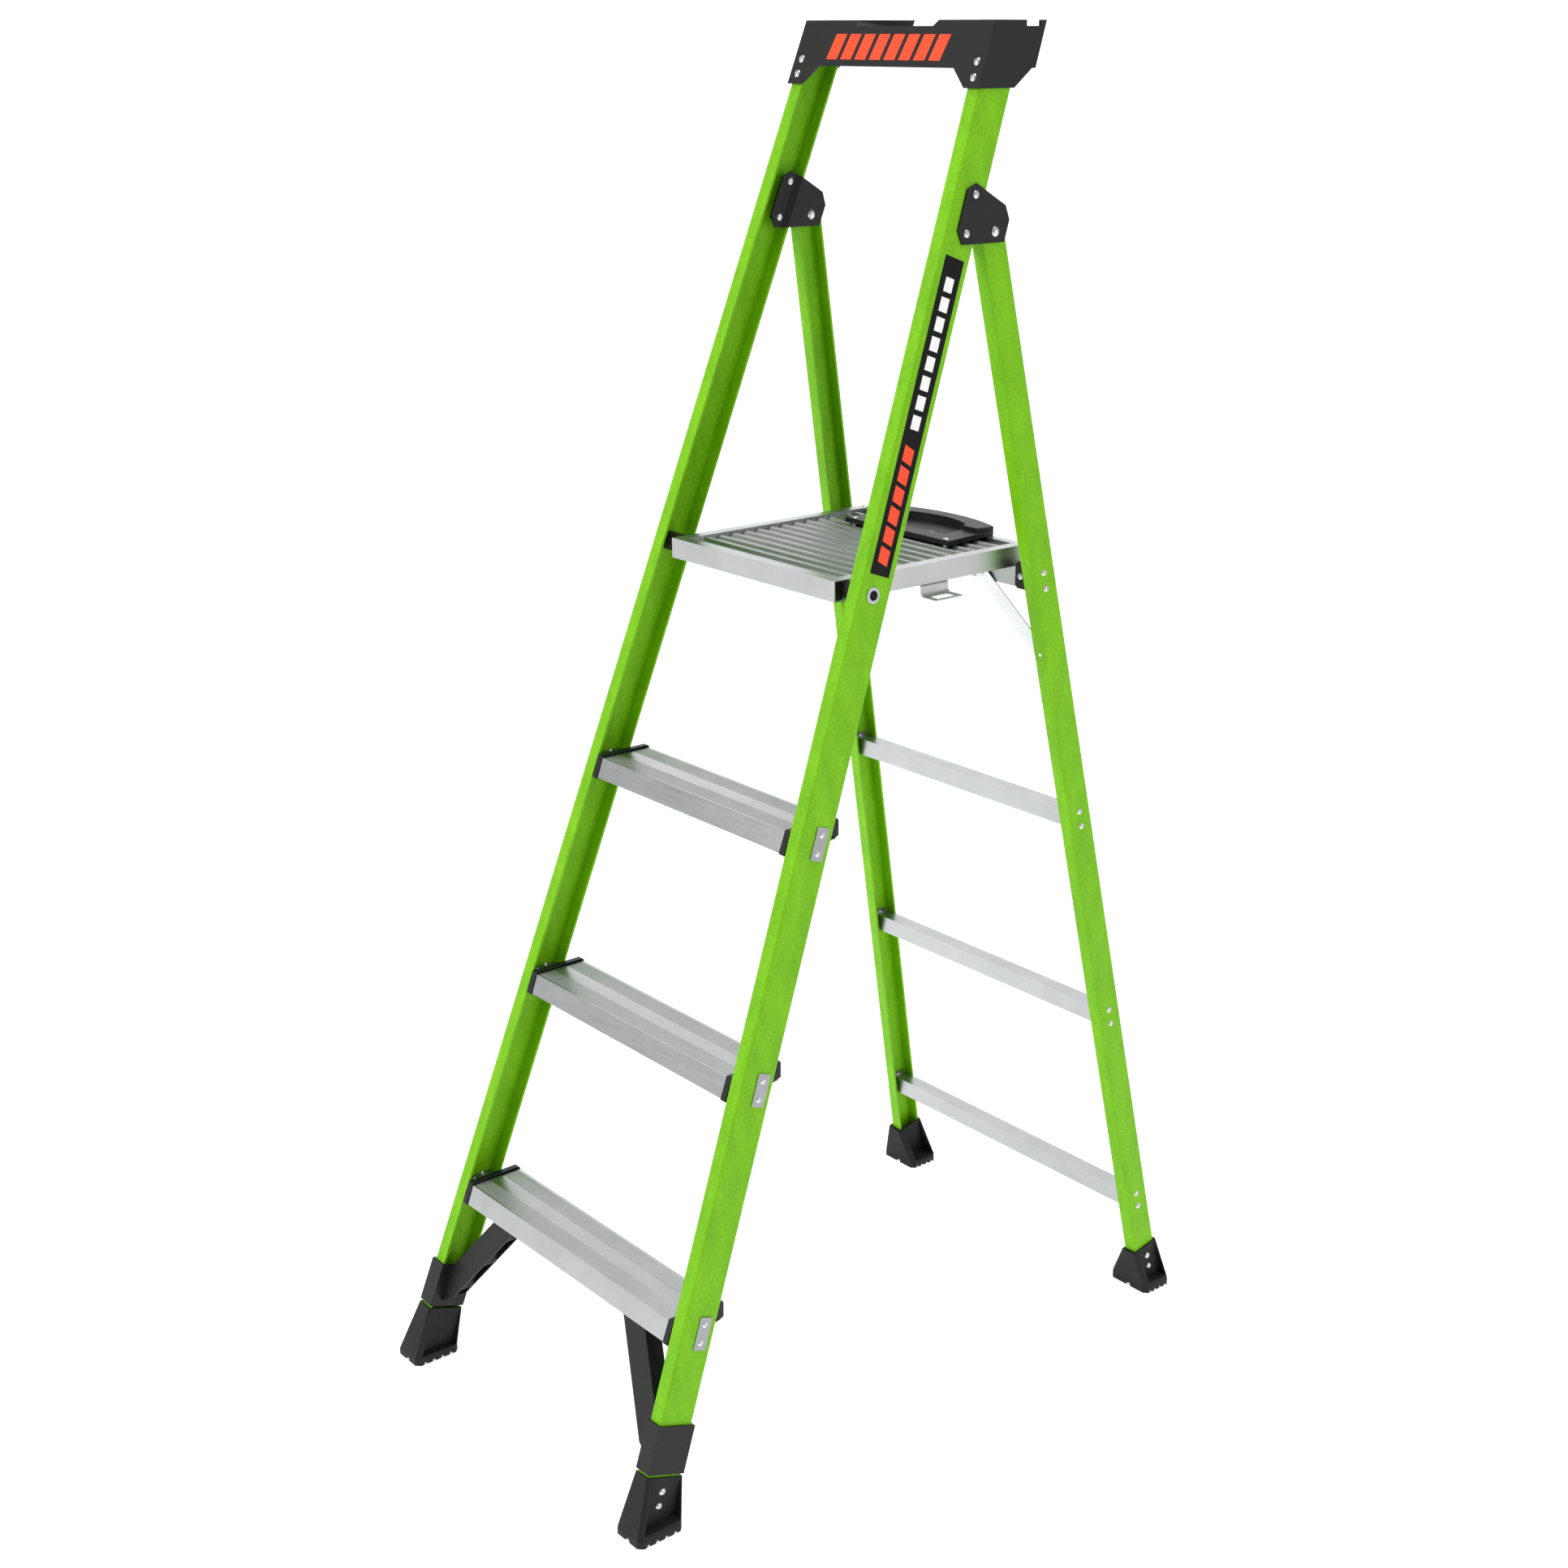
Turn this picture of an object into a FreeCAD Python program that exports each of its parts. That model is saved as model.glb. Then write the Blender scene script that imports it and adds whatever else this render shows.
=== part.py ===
"""Folding platform step ladder: two fibreglass frames, three treads and a tilting platform.

X runs across the ladder, Y from the climbing side to the rear and Z up from the floor.
Every driving size is a cell of the sheet; the left-hand pieces mirror the right-hand ones.
"""
import FreeCAD
import Part
import math
import operator
import os
import Sketcher
from FreeCAD import Placement, Rotation, Vector

SIZES = [
    # layout of the two frames
    ("rise", 286.0, "vertical distance between treads"),
    ("first_step", 250.5, "height of the lowest tread"),
    ("front_slope", 0.3668, "lean of the front frame, run over rise"),
    ("rear_slope", 0.1988, "lean of the rear frame, run over rise"),
    ("splay_slope", 0.0559, "side splay of all four rails, run over rise"),
    ("base_half", 264.3, "centre to outer web of a front rail at the floor"),
    ("rear_inset", 1.5, "rear webs lie this much inside the front webs"),
    ("hinge_height", 1504.8, "height of the main hinge axis"),
    ("hinge_setback", 27.0, "main hinge axis behind the front rails"),
    # rails
    ("front_depth", 49.4, "front rail channel depth"),
    ("front_flange", 20.4, "front rail channel flange"),
    ("front_wall", 3.2, "front rail wall"),
    ("rear_depth", 39.4, "rear rail channel depth"),
    ("rear_flange", 18.8, "rear rail channel flange"),
    ("rear_wall", 3.0, "rear rail wall"),
    ("rail_corner", 3.0, "outer corner radius of the rails"),
    ("front_foot_gap", 30.0, "floor to lower end of a front rail, along the rail"),
    ("front_rail_top", 1856.0, "floor to upper end of a front rail, along the rail"),
    ("rear_foot_gap", 22.0, "floor to lower end of a rear rail, along the rail"),
    ("rear_head", 15.0, "rear rail beyond the hinge axis"),
    # rivets
    ("rivet_shank", 2.4, "radius of a frame rivet"),
    ("rivet_head", 4.8, "radius of a frame rivet head"),
    ("pivot_radius", 4.0, "radius of a main hinge rivet"),
    ("pivot_head", 6.0, "radius of a main hinge rivet head"),
    ("running_gap", 0.05, "radial play of a turning rivet or tube"),
    # treads
    ("tread_depth", 74.7, "front to back of a tread"),
    ("tread_height", 25.5, "height of a tread"),
    ("tread_wall", 2.0, "wall of a tread"),
    ("tread_setback", 1.2, "tread face behind the rail face"),
    ("tread_end_gap", 23.0, "outer web to the end of a tread"),
    ("groove_pitch", 2.4, "pitch of the grip grooves"),
    ("groove_depth", 0.7, "depth of the grip grooves"),
    ("cap_reach", 30.5, "outer web to the inner edge of a tread cap"),
    ("cap_seat", 20.9, "outer web to the outer edge of a tread cap"),
    ("cap_rim", 2.6, "tread cap rim around the tread"),
    ("plate_width", 19.0, "width of an outer step plate"),
    ("plate_length", 41.7, "length of an outer step plate"),
    ("plate_thick", 1.3, "thickness of an outer step plate"),
    ("plate_drop", 14.0, "tread surface to the middle of an outer plate"),
    ("plate_back", 31.3, "rail face to the middle of an outer plate"),
    ("plate_rivets", 23.2, "distance between the rivets of an outer plate"),
    ("bracket_thick", 2.5, "thickness of an inner step bracket"),
    ("bracket_width", 26.0, "width of an inner step bracket"),
    ("bracket_reach", 62.0, "outer web to the inner edge of a step bracket"),
    # knee braces and feet
    ("sleeve_wall", 3.0, "wall of a knee brace sleeve"),
    ("sleeve_bottom", 87.0, "floor to a sleeve's lower end, along the rail"),
    ("sleeve_top", 148.5, "floor to a sleeve's upper end, along the rail"),
    ("arm_front", 13.5, "rail face to the front of a brace arm"),
    ("arm_depth", 23.0, "front to back of a brace arm"),
    ("arm_wall", 3.0, "wall of a brace arm"),
    ("arm_inner_top", 149.0, "front rail web to the inner end of a brace arm's top"),
    ("arm_outer_top", 104.0, "front rail web to the outer end of a brace arm's top"),
    ("arm_joint_high", 128.0, "height of a brace arm's upper joint with its sleeve"),
    ("arm_joint_low", 84.0, "height of a brace arm's lower joint with its sleeve"),
    ("foot_wall", 3.0, "wall of a boot around its rail"),
    ("front_boot_top", 83.5, "floor to the top of a front boot, along the rail"),
    ("rear_boot_top", 62.0, "floor to the top of a rear boot, along the rail"),
    ("sole_height", 9.0, "thickness of a sole"),
    ("front_sole_width", 52.0, "width of a front sole"),
    ("front_sole_length", 67.5, "length of a front sole"),
    ("front_sole_ahead", 2.0, "front sole ahead of its rail"),
    ("front_sole_out", 17.3, "front sole outside its rail"),
    ("rear_sole_width", 70.0, "width of a rear sole"),
    ("rear_sole_length", 51.3, "length of a rear sole"),
    ("rear_sole_ahead", 9.5, "rear sole ahead of its rail"),
    ("rear_sole_out", 18.8, "rear sole outside its rail"),
    ("tread_notch", 3.5, "depth of the grooves in a sole"),
    ("sole_grooves", 5, "number of tread blocks of a sole"),
    ("sole_chamfer", 6.0, "corner chamfer of a sole"),
    ("window_rim", 4.5, "rim around the openings in a boot's sides"),
    ("window_ledge", 5.0, "sole surface to the openings in a boot's sides"),
    ("foot_rivet_back", 25.2, "rail face to the rivets of a front boot"),
    ("foot_rivet_high", 65.1, "floor to the upper rivet of a front boot, along the rail"),
    ("foot_rivet_low", 46.7, "floor to the lower rivet of a front boot, along the rail"),
    ("rear_foot_rivet_back", 20.2, "rail face to the rivets of a rear boot"),
    ("rear_foot_rivet_high", 45.0, "floor to the upper rivet of a rear boot, along the rail"),
    ("rear_foot_rivet_low", 27.0, "floor to the lower rivet of a rear boot, along the rail"),
    # main hinge plates
    ("outer_plate", 2.6, "thickness of an outer hinge plate"),
    ("inner_plate", 3.0, "thickness of an inner hinge plate"),
    ("inner_front", 15.5, "outer web to the front part of an inner hinge plate"),
    ("inner_rear", 22.0, "outer web to the rear part of an inner hinge plate"),
    ("hinge_rivet_back", 31.9, "front rail face to the fixed rivets of a hinge plate"),
    ("hinge_rivet_up", 30.6, "hinge axis to the upper fixed rivet, along the rail"),
    ("hinge_rivet_down", 16.6, "hinge axis to the lower fixed rivet, along the rail"),
    ("spacer_radius", 5.0, "outer radius of a spacer sleeve"),
    ("pivot_spacer_radius", 7.0, "outer radius of a main hinge spacer"),
    # rear cross members
    ("rung_first", 142.4, "height of the lowest rung's middle"),
    ("rung_rise", 298.2, "vertical distance between rungs"),
    ("rung_height", 24.0, "height of a rung"),
    ("rung_depth", 23.5, "front to back of a rung"),
    ("rung_wall", 1.8, "wall of a rung"),
    ("rung_rivets", 21.4, "distance between the rivets of a rung"),
    ("rest_gap", 0.3, "platform underside to the crossbar"),
    ("member_end_gap", 5.0, "rail web to the end of a rung or the crossbar"),
    ("shoe_thick", 2.0, "thickness of a rung bracket"),
    ("shoe_reach", 20.0, "reach of a rung bracket into its rung"),
    ("crossbar_plate", 2.5, "thickness of a crossbar end bracket"),
    ("crossbar_plate_reach", 39.5, "rail web to the inner edge of a crossbar end bracket"),
    ("crossbar_height", 26.0, "height of the crossbar"),
    ("crossbar_depth", 24.0, "front to back of the crossbar"),
    ("crossbar_wall", 2.2, "wall of the crossbar"),
    ("crossbar_setback", 8.5, "crossbar behind the rear rails' face"),
    ("strap_width", 22.0, "width of a rear diagonal strap"),
    ("strap_thick", 1.8, "thickness of a rear diagonal strap"),
    ("strap_top_half", 104.0, "centre to the upper rivet of a strap"),
    ("strap_top_up", 7.0, "crossbar underside to the upper rivet of a strap"),
    ("strap_drop", 92.0, "height between the two rivets of a strap"),
    ("strap_grip", 7.2, "grip of the upper rivet of a strap"),
    # platform
    ("deck_inset", 41.83, "front rail web to a platform side, at the platform"),
    ("deck_front", 403.0, "front edge of the platform from the front rails' floor line"),
    ("deck_length", 334.5, "length of the platform"),
    ("deck_height", 25.9, "height of the platform frame"),
    ("deck_wall", 2.0, "wall of the platform frame"),
    ("side_band", 16.0, "width of the flat band on a platform side"),
    ("front_bar", 15.0, "depth of the platform's front bar"),
    ("rear_bar", 13.0, "depth of the platform's rear bar"),
    ("rib_pitch", 21.3, "pitch of the deck ribs"),
    ("rib_width", 15.0, "width of a deck rib"),
    ("rib_height", 4.0, "height of a deck rib"),
    ("deck_pivot_back", 23.3, "platform front edge to the platform pivot"),
    ("deck_pivot_drop", 12.6, "platform surface to the platform pivot"),
    ("tube_outer", 7.25, "outer radius of a platform pivot tube"),
    ("tube_inner", 6.2, "inner radius of a platform pivot tube"),
    ("eyelet_radius", 10.1, "radius of a pivot tube's flared end"),
    ("bush_radius", 12.4, "radius of the bush beside the platform"),
    ("handle_half", 100.0, "half width of the hand hold"),
    ("handle_front", 88.5, "hand hold ahead of the platform's rear edge"),
    ("handle_rear", 18.5, "back of the hand hold behind the platform's rear edge"),
    ("handle_side", 1.5, "hand hold's rear corners behind the platform's rear edge"),
    ("hold_half", 66.0, "half width of the hand opening"),
    ("hold_front", 64.5, "hand opening ahead of the platform's rear edge"),
    ("hold_rear", 16.5, "back of the hand opening ahead of the platform's rear edge"),
    ("hook_front", 142.0, "platform front edge to a side hook"),
    ("hook_length", 46.5, "length of a side hook"),
    ("hook_drop", 16.4, "platform underside to the bottom of a side hook"),
    ("hook_reach", 27.5, "reach of a side hook beyond the platform"),
    ("hook_thick", 2.2, "thickness of a side hook"),
    # top cap
    ("cap_top", 1744.4, "height of the top of the ladder"),
    ("cap_skirt", 54.5, "height of the top cap's front panel"),
    ("cap_ear", 22.0, "drop of the cap's ears below its panel"),
    ("cap_front", 4.2, "cap face ahead of the rails"),
    ("cap_depth", 87.0, "front to back of the top cap"),
    ("cap_side", 2.6, "cap side outside the rails"),
    ("cap_wall", 3.0, "wall of the top cap"),
    ("cap_play", 0.4, "clearance between the cap and the rails"),
    ("cap_rivet_in", 11.0, "rail web to a cap rivet"),
    ("cap_rivet_high", 45.4, "rail end to the upper cap rivet"),
    ("cap_rivet_low", 64.3, "rail end to the lower cap rivet"),
    ("cap_block", 12.0, "thickness of the cap's top around its notches"),
    ("cap_opening_low", 148.0, "half width between the cap's ears at their ends"),
    ("cap_opening_high", 122.0, "half width between the cap's ears at the panel"),
    ("notch_depth", 7.0, "depth of the notches in the cap's top"),
    ("notch_floor", 67.0, "half width of the tool notch at its floor"),
    ("notch_mouth", 75.0, "half width of the tool notch at the top"),
    ("notch_rear", 58.0, "half width of the tool notch at the cap's rear"),
    ("side_notch_front", 49.0, "rail face to the front of a side notch"),
    ("side_notch_rear", 73.0, "rail face to the rear of a side notch"),
    ("side_lip", 4.0, "thickness of the lip behind a side notch"),
    ("side_ledge", 46.0, "reach of the low ledge beside a side notch"),
    # label
    ("label_width", 31.0, "width of the rail label"),
    ("label_low", 1202.0, "floor to the label's lower end, along the rail"),
    ("label_high", 1585.5, "floor to the label's upper end, along the rail"),
    ("label_thick", 0.3, "thickness of the rail label"),
]


class Size:
    """A number that also carries the sheet expression it comes from."""

    def __init__(self, value, text):
        self.value = float(value)
        self.text = text

    def joined(self, other, work, sign):
        other = as_size(other)
        return Size(work(self.value, other.value), f"({self.text} {sign} {other.text})")

    def __add__(self, other):
        return self.joined(other, operator.add, "+")

    def __sub__(self, other):
        return self.joined(other, operator.sub, "-")

    def __mul__(self, other):
        return self.joined(other, operator.mul, "*")

    def __truediv__(self, other):
        return self.joined(other, operator.truediv, "/")

    def __radd__(self, other):
        return as_size(other) + self

    def __rsub__(self, other):
        return as_size(other) - self

    def __rmul__(self, other):
        return as_size(other) * self

    def __neg__(self):
        return as_size(0) - self

    def __float__(self):
        return self.value


def as_size(number):
    return number if isinstance(number, Size) else Size(number, repr(float(number)))


def make_sheet():
    """Put every driving size into a sheet and return them as Size objects by alias."""
    sheet = doc.addObject("Spreadsheet::Sheet", "Sizes")
    sheet.Label = "Sizes"
    sizes = {}
    for row, (alias, value, note) in enumerate(SIZES, start=1):
        sheet.set(f"A{row}", note)
        sheet.set(f"B{row}", str(value))
        sheet.setAlias(f"B{row}", alias)
        sizes[alias] = Size(value, f"Sizes.{alias}")
    doc.recompute()
    return sizes


doc = FreeCAD.newDocument("PlatformLadder")
Z = make_sheet()
ACROSS = Vector(1, 0, 0)
BACK = Vector(0, 1, 0)
UP = Vector(0, 0, 1)


# ---------------------------------------------------------------- frames of reference

def num(name):
    return Z[name].value


splay_angle = math.degrees(math.atan(num("splay_slope")))
front_angle = math.degrees(math.atan(num("front_slope")))
rear_angle = math.degrees(math.atan(num("rear_slope")))
stretch = 1 / math.cos(math.radians(splay_angle))
front_cos = math.cos(math.radians(front_angle))
front_sin = math.sin(math.radians(front_angle))
rear_cos = math.cos(math.radians(rear_angle))
rear_sin = math.sin(math.radians(rear_angle))

hinge_rise = num("hinge_height") * stretch
hinge_back = num("front_depth") + num("hinge_setback")
hinge_along = (hinge_rise + hinge_back * front_sin) / front_cos
hinge_y = hinge_back * front_cos + hinge_along * front_sin
rear_hinge_along = (hinge_rise - num("rear_depth") / 2 * rear_sin) / rear_cos
rear_floor_y = hinge_y - num("rear_depth") / 2 * rear_cos + rear_hinge_along * rear_sin
toe_y = -num("front_sole_ahead")
heel_y = rear_floor_y - num("rear_sole_ahead") + num("rear_sole_length")

HOME = Placement(Vector(0, -(toe_y + heel_y) / 2, 0), Rotation())
TILT = Rotation(BACK, -splay_angle)
FRONT_SIDE = HOME * Placement(Vector(num("base_half"), 0, 0), TILT)
FRONT_RAIL = FRONT_SIDE * Placement(Vector(0, 0, 0), Rotation(ACROSS, -front_angle))
REAR_SIDE = HOME * Placement(Vector(num("base_half") - num("rear_inset"), 0, 0), TILT)
REAR_RAIL = REAR_SIDE * Placement(Vector(0, rear_floor_y, 0), Rotation(ACROSS, rear_angle))
HINGE = HOME.multVec(Vector(0, hinge_y, num("hinge_height")))


def web_half(height):
    """Centre to the outer face of a front rail's web at a height."""
    return Z["base_half"] - Z["splay_slope"] * height


def rail_face(height):
    """Y of the front rails' face at a height, from the floor line."""
    return num("front_slope") * stretch * float(height)


step_heights = [Z["first_step"] + Z["rise"] * count for count in range(3)]
deck_top = Z["first_step"] + Z["rise"] * 3
crossbar_middle = deck_top - Z["deck_height"] - Z["rest_gap"] - Z["crossbar_height"] / 2
rung_heights = [Z["rung_first"] + Z["rung_rise"] * count for count in range(3)]
deck_front = num("deck_front")
deck_half = web_half(deck_top) - Z["deck_inset"]
DECK = HOME * Placement(Vector(0, deck_front, float(deck_top)), Rotation())
DECK_PIVOT = DECK.multVec(Vector(0, num("deck_pivot_back"), -num("deck_pivot_drop")))


# ---------------------------------------------------------------- building helpers

PARTS = []


def keep(piece):
    """List a finished object as one of the ladder's parts."""
    PARTS.append(piece)
    return piece


def new_body(label, placement):
    body = doc.addObject("PartDesign::Body", label)
    body.Label = label
    body.Placement = placement
    return body


def plane_of(body, role):
    return next(item for item in body.Origin.OriginFeatures if item.Role == role)


def new_sketch(body, role, name, offset=None):
    """A sketch on one of the body's own planes, moved along the plane's normal by offset."""
    sketch = body.newObject("Sketcher::SketchObject", name)
    sketch.AttachmentSupport = (plane_of(body, role), [""])
    sketch.MapMode = "FlatFace"
    if offset is not None:
        offset = as_size(offset)
        sketch.AttachmentOffset = Placement(Vector(0, 0, offset.value), Rotation())
        sketch.setExpression("AttachmentOffset.Base.z", offset.text)
    return sketch


def drive(sketch, kind, geometry, point, size):
    """Fix one coordinate of a point from the sketch's origin."""
    size = as_size(size)
    number = sketch.addConstraint(Sketcher.Constraint(kind, -1, 1, geometry, point, size.value))
    if "Sizes." in size.text:
        sketch.setExpression(f"Constraints[{number}]", size.text)


def outline(sketch, points):
    """A closed outline of straight sides through the points."""
    corners = [(as_size(x), as_size(y)) for x, y in points]
    first = sketch.GeometryCount
    count = len(corners)
    for (x1, y1), (x2, y2) in zip(corners, corners[1:] + corners[:1]):
        side = Part.LineSegment(Vector(x1.value, y1.value, 0), Vector(x2.value, y2.value, 0))
        sketch.addGeometry(side, False)
    for index in range(count):
        after = first + (index + 1) % count
        sketch.addConstraint(Sketcher.Constraint("Coincident", first + index, 2, after, 1))
    for index, (x, y) in enumerate(corners):
        drive(sketch, "DistanceX", first + index, 1, x)
        drive(sketch, "DistanceY", first + index, 1, y)


def hole(sketch, x, y, radius):
    """A circle with a driven centre and radius."""
    x, y, radius = as_size(x), as_size(y), as_size(radius)
    circle = Part.Circle(Vector(x.value, y.value, 0), Vector(0, 0, 1), radius.value)
    index = sketch.addGeometry(circle, False)
    drive(sketch, "DistanceX", index, 3, x)
    drive(sketch, "DistanceY", index, 3, y)
    number = sketch.addConstraint(Sketcher.Constraint("Radius", index, radius.value))
    if "Sizes." in radius.text:
        sketch.setExpression(f"Constraints[{number}]", radius.text)


def pad(body, sketch, length, midplane=False, backwards=False):
    feature = body.newObject("PartDesign::Pad", sketch.Name + "Pad")
    feature.Profile = sketch
    length = as_size(length)
    feature.Length = length.value
    feature.setExpression("Length", length.text)
    feature.Midplane = midplane
    feature.Reversed = backwards
    sketch.Visibility = False
    doc.recompute()
    return feature


def pocket(body, sketch, depth=None, way=0):
    """Cut the sketch both ways from its plane, or one way: 1 along its normal, -1 against it."""
    before = body.Shape.Volume
    feature = body.newObject("PartDesign::Pocket", sketch.Name + "Pocket")
    feature.Profile = sketch
    feature.Midplane = way == 0
    feature.Reversed = way == 1
    if depth is None:
        feature.Type = "ThroughAll"
    else:
        depth = as_size(depth)
        feature.Length = depth.value
        feature.setExpression("Length", depth.text)
    doc.recompute()
    if not body.Shape.Volume < before:
        raise ValueError(f"{body.Label}: {feature.Name} cuts nothing")
    return feature


def mirrored(piece, label):
    """The left-hand copy of a right-hand piece."""
    copy = doc.addObject("Part::Mirroring", label)
    copy.Label = label
    copy.Source = piece
    copy.Base = Vector(0, 0, 0)
    copy.Normal = ACROSS
    doc.recompute()
    return copy


def pair(piece, stem):
    """Keep a right-hand piece and its mirror image."""
    keep(piece)
    keep(mirrored(piece, stem + "_left"))


def solid_piece(label, shape):
    piece = doc.addObject("Part::Feature", label)
    piece.Label = label
    piece.Shape = shape
    return piece


def slab(corners, start, length, direction=ACROSS):
    """A prism: corners are (y, z) along X, or (x, z) along Y, or (x, y) along Z."""
    if direction == ACROSS:
        points = [Vector(float(start), float(a), float(b)) for a, b in corners]
    elif direction == BACK:
        points = [Vector(float(a), float(start), float(b)) for a, b in corners]
    else:
        points = [Vector(float(a), float(b), float(start)) for a, b in corners]
    face = Part.Face(Part.makePolygon(points + points[:1]))
    return face.extrude(direction * float(length))


def block(low, high):
    low, high = Vector(*map(float, low)), Vector(*map(float, high))
    size = high - low
    return Part.makeBox(size.x, size.y, size.z, low)


def moved(shape, placement):
    """A copy of a shape carried into a placement."""
    return shape.copy().transformed(placement.toMatrix())


def flipped(shape):
    return shape.mirror(Vector(0, 0, 0), ACROSS)


def rivet(shank, head, grip, tail=None, dome=0.45):
    """A domed rivet along X: its head stands on x = 0 and its tail closes behind the grip."""
    shank, head, grip = float(shank), float(head), float(grip)
    tail = shank * 1.5 if tail is None else float(tail)
    top = head * dome
    ball = (head * head + top * top) / (2 * top)
    half_turn = math.asin(head / ball) / 2
    rim = Vector(0, head, 0)
    middle = Vector(top - ball + ball * math.cos(half_turn), ball * math.sin(half_turn), 0)
    arc = Part.Arc(rim, middle, Vector(top, 0, 0)).toShape()
    tail_high = shank * 0.6
    points = [Vector(top, 0, 0), Vector(-grip - tail_high, 0, 0), Vector(-grip - tail_high, tail, 0),
              Vector(-grip, tail, 0), Vector(-grip, shank, 0), Vector(0, shank, 0), rim]
    wire = Part.Wire([arc] + Part.makePolygon(points).Edges)
    return Part.Face(wire).revolve(Vector(0, 0, 0), ACROSS, 360)


def on_side(frame, y, z, out=0.0):
    """A placement on a rail frame's web: out from it, back and up."""
    return frame * Placement(Vector(float(out), float(y), float(z)), Rotation())


# ---------------------------------------------------------------- rails

def channel(sketch, depth, flange, wall):
    """C-shaped section: the web on x = 0 and both flanges pointing inwards."""
    outline(sketch, [(0, 0), (0, depth), (-flange, depth), (-flange, depth - wall),
                     (-wall, depth - wall), (-wall, wall), (-flange, wall), (-flange, 0)])


def round_outer_corners(body, feature, radius):
    """Round the two long edges where the web meets the flanges."""
    names = []
    for index, edge in enumerate(feature.Shape.Edges, start=1):
        ends = [v.Point for v in edge.Vertexes]
        if len(ends) == 2 and all(abs(point.x) < 1e-6 for point in ends) and edge.Length > 500:
            names.append(f"Edge{index}")
    fillet = body.newObject("PartDesign::Fillet", "Corners")
    fillet.Base = (feature, names)
    fillet.Radius = radius.value
    fillet.setExpression("Radius", radius.text)
    doc.recompute()


step_rivet_spots = []
for height in step_heights:
    middle_rise = (float(height) - num("plate_drop")) * stretch
    plate_middle = (middle_rise + num("plate_back") * front_sin) / front_cos
    for way in (-1, 1):
        step_rivet_spots.append((num("plate_back"), plate_middle + way * num("plate_rivets") / 2))
step_plate_spots = [(a[1] + b[1]) / 2 for a, b in zip(step_rivet_spots[::2], step_rivet_spots[1::2])]
hinge_rivet_spots = [(num("hinge_rivet_back"), hinge_along + num("hinge_rivet_up")),
                     (num("hinge_rivet_back"), hinge_along - num("hinge_rivet_down"))]
foot_rivet_spots = [(num("foot_rivet_back"), num("foot_rivet_high")),
                    (num("foot_rivet_back"), num("foot_rivet_low"))]
rear_foot_rivet_spots = [(num("rear_foot_rivet_back"), num("rear_foot_rivet_high")),
                         (num("rear_foot_rivet_back"), num("rear_foot_rivet_low"))]
cap_rivet_spots = [(num("cap_rivet_in"), num("front_rail_top") - num("cap_rivet_high")),
                   (num("cap_rivet_in"), num("front_rail_top") - num("cap_rivet_low"))]
deck_pivot_local = FRONT_RAIL.inverse().multVec(
    Vector(float(web_half(DECK_PIVOT.z)), DECK_PIVOT.y, DECK_PIVOT.z))
rung_rivet_spots = []
for height in rung_heights + [crossbar_middle]:
    along = (float(height) * stretch - num("rear_depth") / 2 * rear_sin) / rear_cos
    for way in (-1, 1):
        rung_rivet_spots.append((num("rear_depth") / 2, along + way * num("rung_rivets") / 2))


def rear_face(height):
    """Y of the rear rails' face at a height, from the front rails' floor line."""
    return rear_floor_y - num("rear_slope") * stretch * float(height)


def rear_half(height):
    return web_half(height) - Z["rear_inset"]


def rear_web_x(height, depth_in=0.0):
    """X of a plane parallel to a rear rail's web, inside its outer face by depth_in."""
    return float(rear_half(height)) - float(depth_in) * stretch


crossbar_setback = num("crossbar_setback")
bracket_face = rear_face(crossbar_middle) + crossbar_setback - num("crossbar_plate") - 0.05
face_rivet_x = rear_web_x(crossbar_middle) - num("crossbar_plate_reach") + 8.5
face_rivet_z = float(crossbar_middle) + 2.0

# The straps run from the crossbar's face down behind the front flanges of the rear rails.
strap_top_z = float(crossbar_middle) - num("crossbar_height") / 2 + num("strap_top_up")
strap_top_x = num("strap_top_half")
strap_low_z = strap_top_z - num("strap_drop")
strap_low_x = rear_web_x(strap_low_z) - num("rear_flange") + 9.5
strap_touch_z = float(crossbar_middle) - num("crossbar_height") / 2
strap_touch_y = rear_face(crossbar_middle) + crossbar_setback - num("strap_thick") - 0.06
strap_low_y = rear_face(strap_low_z) + num("rear_wall") / rear_cos + 0.15
strap_pin = REAR_RAIL.inverse().multVec(HOME.multVec(Vector(strap_low_x, strap_low_y, strap_low_z)))


def front_rail():
    """Front rail: channel with holes for step, hinge, foot and cap rivets and the platform tube."""
    body = new_body("front_rail_blank", FRONT_RAIL)
    section = new_sketch(body, "XY_Plane", "FrontSection", Z["front_foot_gap"])
    channel(section, Z["front_depth"], Z["front_flange"], Z["front_wall"])
    blank = pad(body, section, Z["front_rail_top"] - Z["front_foot_gap"])
    round_outer_corners(body, blank, Z["rail_corner"])
    web_holes = new_sketch(body, "YZ_Plane", "FrontWebHoles")
    for back, along in step_rivet_spots + hinge_rivet_spots + foot_rivet_spots:
        hole(web_holes, back, along, Z["rivet_shank"])
    hole(web_holes, deck_pivot_local.y, deck_pivot_local.z, Z["tube_outer"] + 0.4)
    pocket(body, web_holes, 4 * Z["front_wall"])
    flange_holes = new_sketch(body, "XZ_Plane", "FrontFlangeHoles")
    for inward, along in cap_rivet_spots:
        hole(flange_holes, -inward, along, Z["rivet_shank"])
    pocket(body, flange_holes, 4 * Z["front_wall"])
    body.Label = "front_rail_right"
    return body


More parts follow.
